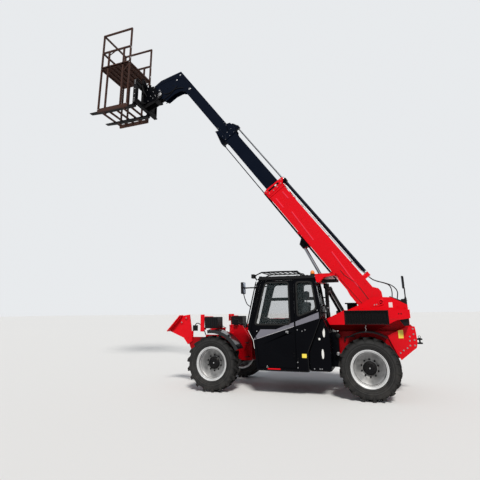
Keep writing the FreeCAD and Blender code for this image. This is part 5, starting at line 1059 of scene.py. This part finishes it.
# Front
def front_details():
    """Headlamps on their brackets, steering rods, brake lines, fender edges and the nose's fittings."""
    for tag, side, _ in SIDES:
        lathe(f"headlamp_lens_{tag}", [(-4, 99), (10, 99), (13, 93), (16, 60), (17, 8)],
              [at(3272, side * 790, 1335)], FORWARD, LENS_CLEAR, "chassis", 40)
        hoop(f"headlamp_ring_{tag}", [(-12, 98), (-12, 106), (9, 106), (11, 100), (9, 98)],
             at(3272, side * 790, 1335), FORWARD, PLASTIC, "chassis")
        cheek = rounded([(2972, 1225), (3266, 1225), (3280, 1446), (2990, 1448)], 24)
        slab(f"headlamp_hood_{tag}", [(cheek, *span(side, 643, 651)), (cheek, *span(side, 929, 937)),
                                      (square(2990, 3276, 1438, 1447), *span(side, 648, 932))],
             PLASTIC, "chassis", 4.0)
        boxes(f"headlamp_ribs_{tag}", [(2972, 2979, *span(side, 680, 900), z, z + 10)
                                       for z in (1260, 1300, 1340, 1380)], PLASTIC, "chassis", 2.0)
        boxes(f"headlamp_fins_{tag}", [(x, x + 20, *span(side, 936, 946), 1246, 1426)
                                       for x in (3002, 3046, 3090, 3134, 3178, 3222)], PLASTIC, "chassis", 3.0)
        boxes(f"lamp_bracket_{tag}", [(x0, x1, *span(side, 730, 850), z0, z1) for x0, x1, z0, z1 in (
            (3280, 3386, 1446, 1462), (3372, 3386, 1330, 1500), (3160, 3300, 1448, 1460))],
              RED, "chassis", 4.0)
        boxes(f"lamp_column_{tag}", [(3300, 3386, *span(side, 879, 911), 1150, 1500),
                                     (3296, 3312, *span(side, 800, 900), 1184, 1232)], RED, "chassis", 5.0)
        tube(f"lamp_cable_{tag}", [[at(x, side * y, z) for x, y, z in (
            (2980, 720, 1270), (2930, 690, 1240), (2925, 600, 1215), (2960, 480, 1205))]], 6, HOSE, "chassis")
        bolts(f"knuckle_caps_{tag}", [at(x, side * 800, 715) for x in (0, WHEELBASE)], UP, 44, IRON_BLACK,
              "chassis")
        for end, x in (("front", WHEELBASE), ("rear", 0)):
            tube(f"steer_rod_{end}_{tag}", [[at(x - 95, side * 170, 530), at(x - 95, side * 420, 530),
                                             at(x - 88, side * 690, 530)]], 13, STEEL, "chassis", 2)
            tube(f"brake_line_{end}_{tag}", [[at(x + 40, side * y, z) for y, z in (
                (180, 700), (300, 640), (520, 626), (660, 640))]], 6, HOSE, "chassis")
        boxes(f"fender_braces_{tag}", [(WHEELBASE + dx, WHEELBASE + dx + 18, *span(side, 746, 1084), 1193, 1201)
                                       for dx in (-70, 40)], IRON_BLACK, "chassis", 2.0)
    for tag, side, _ in SIDES:
        form = bmesh.new()
        rings = []
        for k in range(25):
            angle = math.radians(82 + 72 * k / 24)
            rings.append([form.verts.new(at(WHEELBASE + r * math.cos(angle), side * y,
                                            WHEEL_Z + r * math.sin(angle)))
                          for y, r in ((1074, 588), (1086, 588), (1086, 655), (1074, 655))])
        for a, b in zip(rings, rings[1:]):
            for k in range(4):
                form.faces.new((a[k], a[(k + 1) % 4], b[(k + 1) % 4], b[k]))
        form.faces.new(rings[0][::-1])
        form.faces.new(rings[-1])
        add(f"fender_lip_{tag}", form, FENDER, "chassis", bevel=3.0)
    bolts("nose_bosses", [at(x, 495, z) for x, z in ((3945, 1425), (4060, 1330))], LEFT, 22, STEEL, "chassis")
    for name, x, z in (("nose_boss_rings", 3945, 1425), ("nose_boss_ring_low", 4060, 1330)):
        hoop(name, [(0, 33), (0, 42), (8, 42), (10, 37), (10, 33)], at(x, 475, z), LEFT, RED, "chassis", 40)
    bolts("nose_bolts", [at(x, 475, z) for x, z in ((3838, 1200), (3820, 960), (3900, 1000), (3850, 1380))],
          LEFT, 24, RED, "chassis")
    boxes("nose_socket", [(3690, 3800, 400, 449, 1140, 1262)], IRON_BLACK, "chassis", 6.0)
    slab("nose_rib", [([(3790, 1010), (3900, 1010), (3822, 1130), (3790, 1150)], 420, 450)], RED, "chassis", 3.0)
    lathe("front_post", [(0, 60), (0, 118), (30, 118), (34, 110), (160, 110), (166, 118), (180, 112), (180, 20)],
          [at(2826, 335, 1092)], UP, RED, "chassis", 44)
    boxes("front_foot", [(2672, 2768, 470, 530, 1272, 1390)], IRON_BLACK, "chassis", 6.0)
    boxes("front_step", [(2420, 2500, 455, 590, 620, 634), (2420, 2500, 455, 590, 900, 914)], IRON_BLACK,
          "chassis", 4.0)
    bolts("front_plate_bolts", [at(x, 450, z) for x, z in ((2440, 640), (2440, 900), (2560, 1180),
                                                           (3300, 920), (3560, 920), (2700, 1240))], LEFT, 22,
          RED, "chassis")
    slab("front_plate_edge", [([(2392, 950), (2602, 1266), (2612, 1258), (2402, 942)], 444, 456)], RED,
         "chassis", 3.0)
    tube("front_hoses", [[at(x, y, z) for x, y, z in (
        (2830, 320, 1272), (2810, 330, 1330), (2760, 300, 1345), (2700, 270, 1290), (2660, 262, 1180),
        (2600, 262, 1100))], [at(x, y, z) for x, y, z in (
            (3745, 425, 1262), (3735, 420, 1300), (3680, 400, 1310), (3600, 380, 1250), (3560, 330, 1150),
            (3540, 300, 1050))]], 10, HOSE, "chassis")


# Engine side
def engine_details():
    """Louvres, latches, handle, bolts and vents of the hood, and the silencer that stands beside it."""
    form = bmesh.new()
    for z in range(700, 1110, 38):
        for ends in ((960, 1440), (1500, 1980)):
            prism(form, *([at(x, y, z + rise) for y, rise in ((-1024, 0), (-1042, 6), (-1042, 10), (-1024, 26))]
                          for x in ends))
    add("hood_louvres", form, IRON_BLACK, "hood", bevel=1.5)
    boxes("hood_panel", [(920, 1460, -1030, -1023, 660, 1150), (1480, 2020, -1030, -1023, 660, 1150)], BLACK,
          "hood", 2.0)
    slab("hood_seams", [(square(1190, 1194, 1190, 1320), -1027, -1024),
                        (square(760, 2210, 560, 566), -1027, -1024)], SEAM_AND_SHADE_RED, "hood", 0.5)
    boxes("hood_latches", [(x, x + 90, -1040, -1022, 590, 640) for x in (900, 1950)], PLASTIC, "hood", 8.0)
    boxes("hood_handle", [(1400, 1420, -1050, -1020, 590, 610), (1560, 1580, -1050, -1020, 590, 610),
                          (1400, 1580, -1062, -1046, 590, 610)], BLACK, "hood", 5.0)
    bolts("hood_bolts", [at(x, -1025, z) for x in (775, 2195) for z in (560, 900, 1250)], RIGHT, 20, STEEL,
          "hood")
    boxes("hood_top_vents", [(1100 + 90 * n, 1150 + 90 * n, -860, -480, 1384, 1393) for n in range(9)],
          IRON_BLACK, "hood", 3.0)
    lathe("silencer", [(0, 34), (40, 34), (46, 70), (60, 76), (330, 76), (344, 70), (350, 36), (520, 34),
                       (523, 30), (523, 8)], [at(640, -860, 1200)], UP, IRON, "chassis", 40)
    boxes("silencer_bracket", [(600, 680, -860, -690, 1240, 1256), (600, 680, -860, -690, 1480, 1496)], BLACK,
          "chassis", 4.0)
    hoop("silencer_bands", [(0, 76), (0, 80), (20, 80), (20, 76)], at(640, -860, 1290), UP, STEEL, "chassis", 48)


# Rams
def ram_details():
    """Gland, collars, pipe and ports of the lift ram."""
    eye = on_boom(1956, 0, -478)
    foot = at(120, 0, 760)
    run = (eye - foot).normalized()
    lathe("lift_gland", [(0, 60), (0, 74), (60, 74), (66, 68), (76, 52), (76, 36.5)], [foot + run * 1.352], run,
          IRON_BLACK, "lift_barrel", 40, bored=True)
    lathe("lift_collars", [(0, 64), (0, 69), (22, 69), (22, 64)], [foot + run * 0.35, foot + run * 0.9], run,
          IRON_BLACK, "lift_barrel", 40, bored=True)
    tube("lift_pipe", [[foot + run * s + LEFT * y for s, y in (
        (0.16, 0.062), (0.17, 0.084), (0.22, 0.086), (1.20, 0.086), (1.30, 0.084), (1.335, 0.062))]],
         8, STEEL, "lift_barrel")
    bolts("lift_ports", [foot + run * s + LEFT * 0.0635 for s in (0.16, 1.335)], LEFT, 30, STEEL,
          "lift_barrel")


# Tool end
CARRIAGE_PIN = (5180.5, 7699.9)
FORK_Y = {"left": 440, "right": -270}


def carriage_details():
    """Fork rail, valve block, hoses, bolts and locks of the carriage."""
    boxes("rail_edges", [(5688, 5790, -558, 558, z, z + 9) for z in (7352, 7476, 7922, 8046)], BLACK,
          "carriage", 3.0)
    boxes("rail_notches", [(5784, 5792, y, y + 14, z, z + 22) for y in range(-520, 530, 80)
                           for z in (7464, 8034)], IRON_BLACK, "carriage", 1.0)
    for tag, side, out in SIDES:
        bolts(f"carriage_end_bolts_{tag}", [at(5742, side * 560, z) for z in (
            7370, 7420, 7470, 7600, 7760, 7940, 8000, 8040)], out, 26, STEEL, "carriage")
        slab(f"carriage_gussets_{tag}", [
            ([(5704, 7480), (5704, 7620), (5560, 7560), (5600, 7480)], side * 125, side * 160),
            ([(5704, 7930), (5704, 7800), (5600, 7860), (5640, 7930)], side * 125, side * 160),
            ([(5705, 8290), (5570, 8012), (5600, 7960), (5705, 8060)], side * 162, side * 184)], BLACK,
             "carriage", 3.0)
        lathe(f"carriage_pin_head_{tag}", [(-2, 38), (-2, 54), (10, 54), (14, 48), (14, 16), (19, 13), (19, 3)],
              [at(CARRIAGE_PIN[0], side * 130, CARRIAGE_PIN[1])], out, STEEL, "carriage", 36)
        lathe(f"tilt_eye_pin_{tag}", [(-2, 20), (-2, 33), (12, 33), (15, 28), (15, 6)],
              [at(CARRIAGE_PIN[0] + 40, side * 64, CARRIAGE_PIN[1] + 327.5)], out, STEEL, "carriage", 28)
        slab(f"carriage_cheeks_{tag}", [([(5703, 8052), (5556, 8012), (5402, 8014), (5332, 7964), (5264, 7843),
                                          (5240, 7786), (5300, 7560), (5703, 7480)], side * 124, side * 138)],
             BLACK, "carriage", 3.0)
        bolts(f"carriage_lug_bolts_{tag}", [at(x, side * y, z) for x, y, z in (
            (5150, 125, 7770), (5230, 125, 7630), (5400, 138, 7620), (5560, 138, 7560), (5372, 138, 7955),
            (5397, 138, 7822), (5480, 138, 7700), (5608, 138, 7934), (5330, 138, 7700))], out, 24, STEEL,
            "carriage")
        boxes(f"post_caps_{tag}", [(5694, 5782, *span(side, 156, 189), 8296, 8310)], BLACK, "carriage", 3.0)
        boxes(f"fork_locks_{tag}", [(5730, 5775, FORK_Y[tag] - 16, FORK_Y[tag] + 16, 8060, 8092)], STEEL,
              "carriage", 5.0)
    boxes("valve_block", [(5604, 5706, -150, 60, 7630, 7760), (5620, 5690, -190, 100, 7660, 7730)], IRON_BLACK,
          "carriage", 6.0)
    boxes("carriage_plates", [(5704, 5716, -534, -186, 7483, 7925), (5704, 5716, -159, 159, 7483, 7925)] +
          [(5704, 5779, y, y + 104, 7483, 7925) for y in (-534, 430)], BLACK, "carriage", 4.0)
    bolts("valve_caps", [at(5604, y, z) for y in (-120, -45, 30) for z in (7660, 7730)], BACK, 26, STEEL,
          "carriage")
    tube("carriage_hoses", [[at(x, y, z) for x, y, z in pts] for pts in (
        ((5604, -45, 7695), (5500, -40, 7700), (5400, 0, 7640), (5300, 20, 7600), (5220, 20, 7610)),
        ((5620, 100, 7700), (5620, 140, 7720), (5640, 200, 7800), (5680, 280, 7900), (5690, 300, 8010)),
        ((5620, -190, 7700), (5620, -230, 7720), (5650, -280, 7820), (5690, -320, 7920), (5690, -330, 8010)),
        ((5600, 60, 7640), (5590, 60, 7560), (5640, 180, 7480), (5690, 300, 7440), (5690, 360, 7430)))],
         11, HOSE, "carriage")
    tube("fork_rail_rod", [[at(5678, y, z) for y in (-550, 0, 550)] for z in (8085, 7345)], 14, IRON_BLACK,
         "carriage", 2)
    for name, z0, z1 in (("rod_brackets", 8066, 8100), ("rod_brackets_low", 7330, 7365)):
        boxes(name, [(5664, 5704, y, y + 20, z0, z1) for y in (-545, -260, 240, 525)], BLACK, "carriage", 4.0)


CAGE_ENDS = (5979.9, 7029.9)
CAGE_FORK, CAGE_DECK, CAGE_RAIL, CAGE_TOP = 7335.0, 8750.0, 9312.0, 9930.0


def platform_details():
    """Angle irons, weld beads, plank joints, hinges and clamps of the work platform."""
    back, front = CAGE_ENDS
    beads = []
    for y in (550, -505):
        for x in (back, back + 235, front - 280, front - 45):
            tops = (CAGE_RAIL - 45, CAGE_TOP - 45) if x in (back, front - 45) else (CAGE_RAIL - 45,)
            for z in (CAGE_FORK + 46, CAGE_DECK, *tops):
                beads.append((x - 4, x + 49, y - 49, y + 4, z - 4, z + 5))
    boxes("cage_welds", beads, RUST, "carriage", 3.0)
    for tag, side, out in SIDES:
        slab(f"cage_brace_{tag}", [(bar, *span(side, 520, 542)) for bar in (
            [(6796, 9125), (6812, 9140), (6527, 9283), (6511, 9268)],
            [(back + 40, CAGE_DECK - 40), (back + 40, CAGE_DECK - 90), (back + 250, CAGE_DECK - 300),
             (back + 280, CAGE_DECK - 300)])], RUST, "carriage", 1.5)
        bolts(f"cage_bolts_{tag}", [at(x, side * 550, z) for x in (back + 22, front - 22) for z in
                                    (CAGE_DECK - 20, CAGE_RAIL - 22, CAGE_FORK + 24)], out, 24, STEEL,
              "carriage")
        boxes(f"deck_edge_{tag}", [(back + 4, front - 4, *span(side, 544, 550), CAGE_DECK - 46,
                                    CAGE_DECK + 40)], RUST, "carriage", 2.0)
    boxes("deck_joists", [(back + x, back + x + 35, -500, 500, CAGE_DECK - 76, CAGE_DECK - 38)
                          for x in range(40, 1001, 160)], RUST, "carriage", 3.0)
    boxes("deck_planks", [(back + 8, front - 8, y, y + 128, CAGE_DECK - 3, CAGE_DECK + 9)
                          for y in range(-540, 406, 135)], RUST, "carriage", 3.0)
    boxes("gate_hinges", [(back - 8, back + 12, y, y + 40, z, z + 70) for y in (508, -548)
                          for z in (8850, 9200)], STEEL, "carriage", 4.0)
    boxes("fork_clamps", [(x, x + 60, y - 75, y + 75, CAGE_FORK - 62, CAGE_FORK - 51) for x in (6120, 6820)
                          for y in FORK_Y.values()], RUST, "carriage", 3.0)


rear_details()
front_details()
engine_details()
ram_details()
carriage_details()
platform_details()


# Studio
FLOOR_REACH = 260.0
SKY_FILL, SKY_SEEN = 0.30, 0.94
SUN_PLACE, SUN_POWER, SUN_SIZE = Vector((-3.5, 7.0, 8.0)), 3.4, math.radians(12)


def studio():
    """A pale floor that runs out to a pale sky, a sun as key and a weak sky as fill."""
    floor_mesh = bpy.data.meshes.new("studio_floor")
    corners = ((-1, -1), (1, -1), (1, 1), (-1, 1))
    floor_mesh.from_pydata([(FLOOR_REACH * x, FLOOR_REACH * y, 0) for x, y in corners], [], [(0, 1, 2, 3)])
    floor = bpy.data.objects.new("studio_floor", floor_mesh)
    bpy.context.scene.collection.objects.link(floor)
    shading = Shading("pale floor")
    grit = shading.add("ShaderNodeTexNoise", {"Scale": 1.6, "Detail": 8.0})
    tone = shading.add("ShaderNodeMix", {"Factor": grit.outputs["Fac"], 6: (0.72, 0.73, 0.74, 1),
                                         7: (0.78, 0.78, 0.78, 1)}, data_type="RGBA")
    shading.link(tone.outputs[2], shading.shader().inputs["Base Color"])
    shading.shader().inputs["Roughness"].default_value = 0.85
    floor_mesh.materials.append(shading.material)

    world = bpy.data.worlds.new("studio")
    bpy.context.scene.world = world
    world.use_nodes = True
    sky = Shading("studio", world.node_tree)
    light = world.node_tree.nodes["Background"]
    light.inputs["Color"].default_value = (0.86, 0.92, 1.0, 1)
    light.inputs["Strength"].default_value = SKY_FILL
    seen = sky.add("ShaderNodeBackground", {"Color": (0.86, 0.88, 0.90, 1), "Strength": SKY_SEEN})
    path = sky.add("ShaderNodeLightPath")
    glossy = sky.add("ShaderNodeMath", {0: path.outputs["Is Glossy Ray"],
                                        1: path.outputs["Is Transmission Ray"]}, operation="MAXIMUM")
    direct = sky.add("ShaderNodeMath", {0: path.outputs["Is Camera Ray"], 1: glossy.outputs[0]},
                     operation="MAXIMUM")
    both = sky.add("ShaderNodeMixShader", {0: direct.outputs[0], 1: light.outputs[0], 2: seen.outputs[0]})
    sky.link(both.outputs[0], world.node_tree.nodes["World Output"].inputs["Surface"])

    sun = bpy.data.lights.new("sun", "SUN")
    sun.energy = SUN_POWER
    sun.angle = SUN_SIZE
    sun.color = (1.0, 0.96, 0.9)
    item = bpy.data.objects.new("sun", sun)
    item.rotation_euler = (-SUN_PLACE).to_track_quat("-Z", "Y").to_euler()
    bpy.context.scene.collection.objects.link(item)
    bpy.context.scene.view_settings.view_transform = "Standard"


studio()
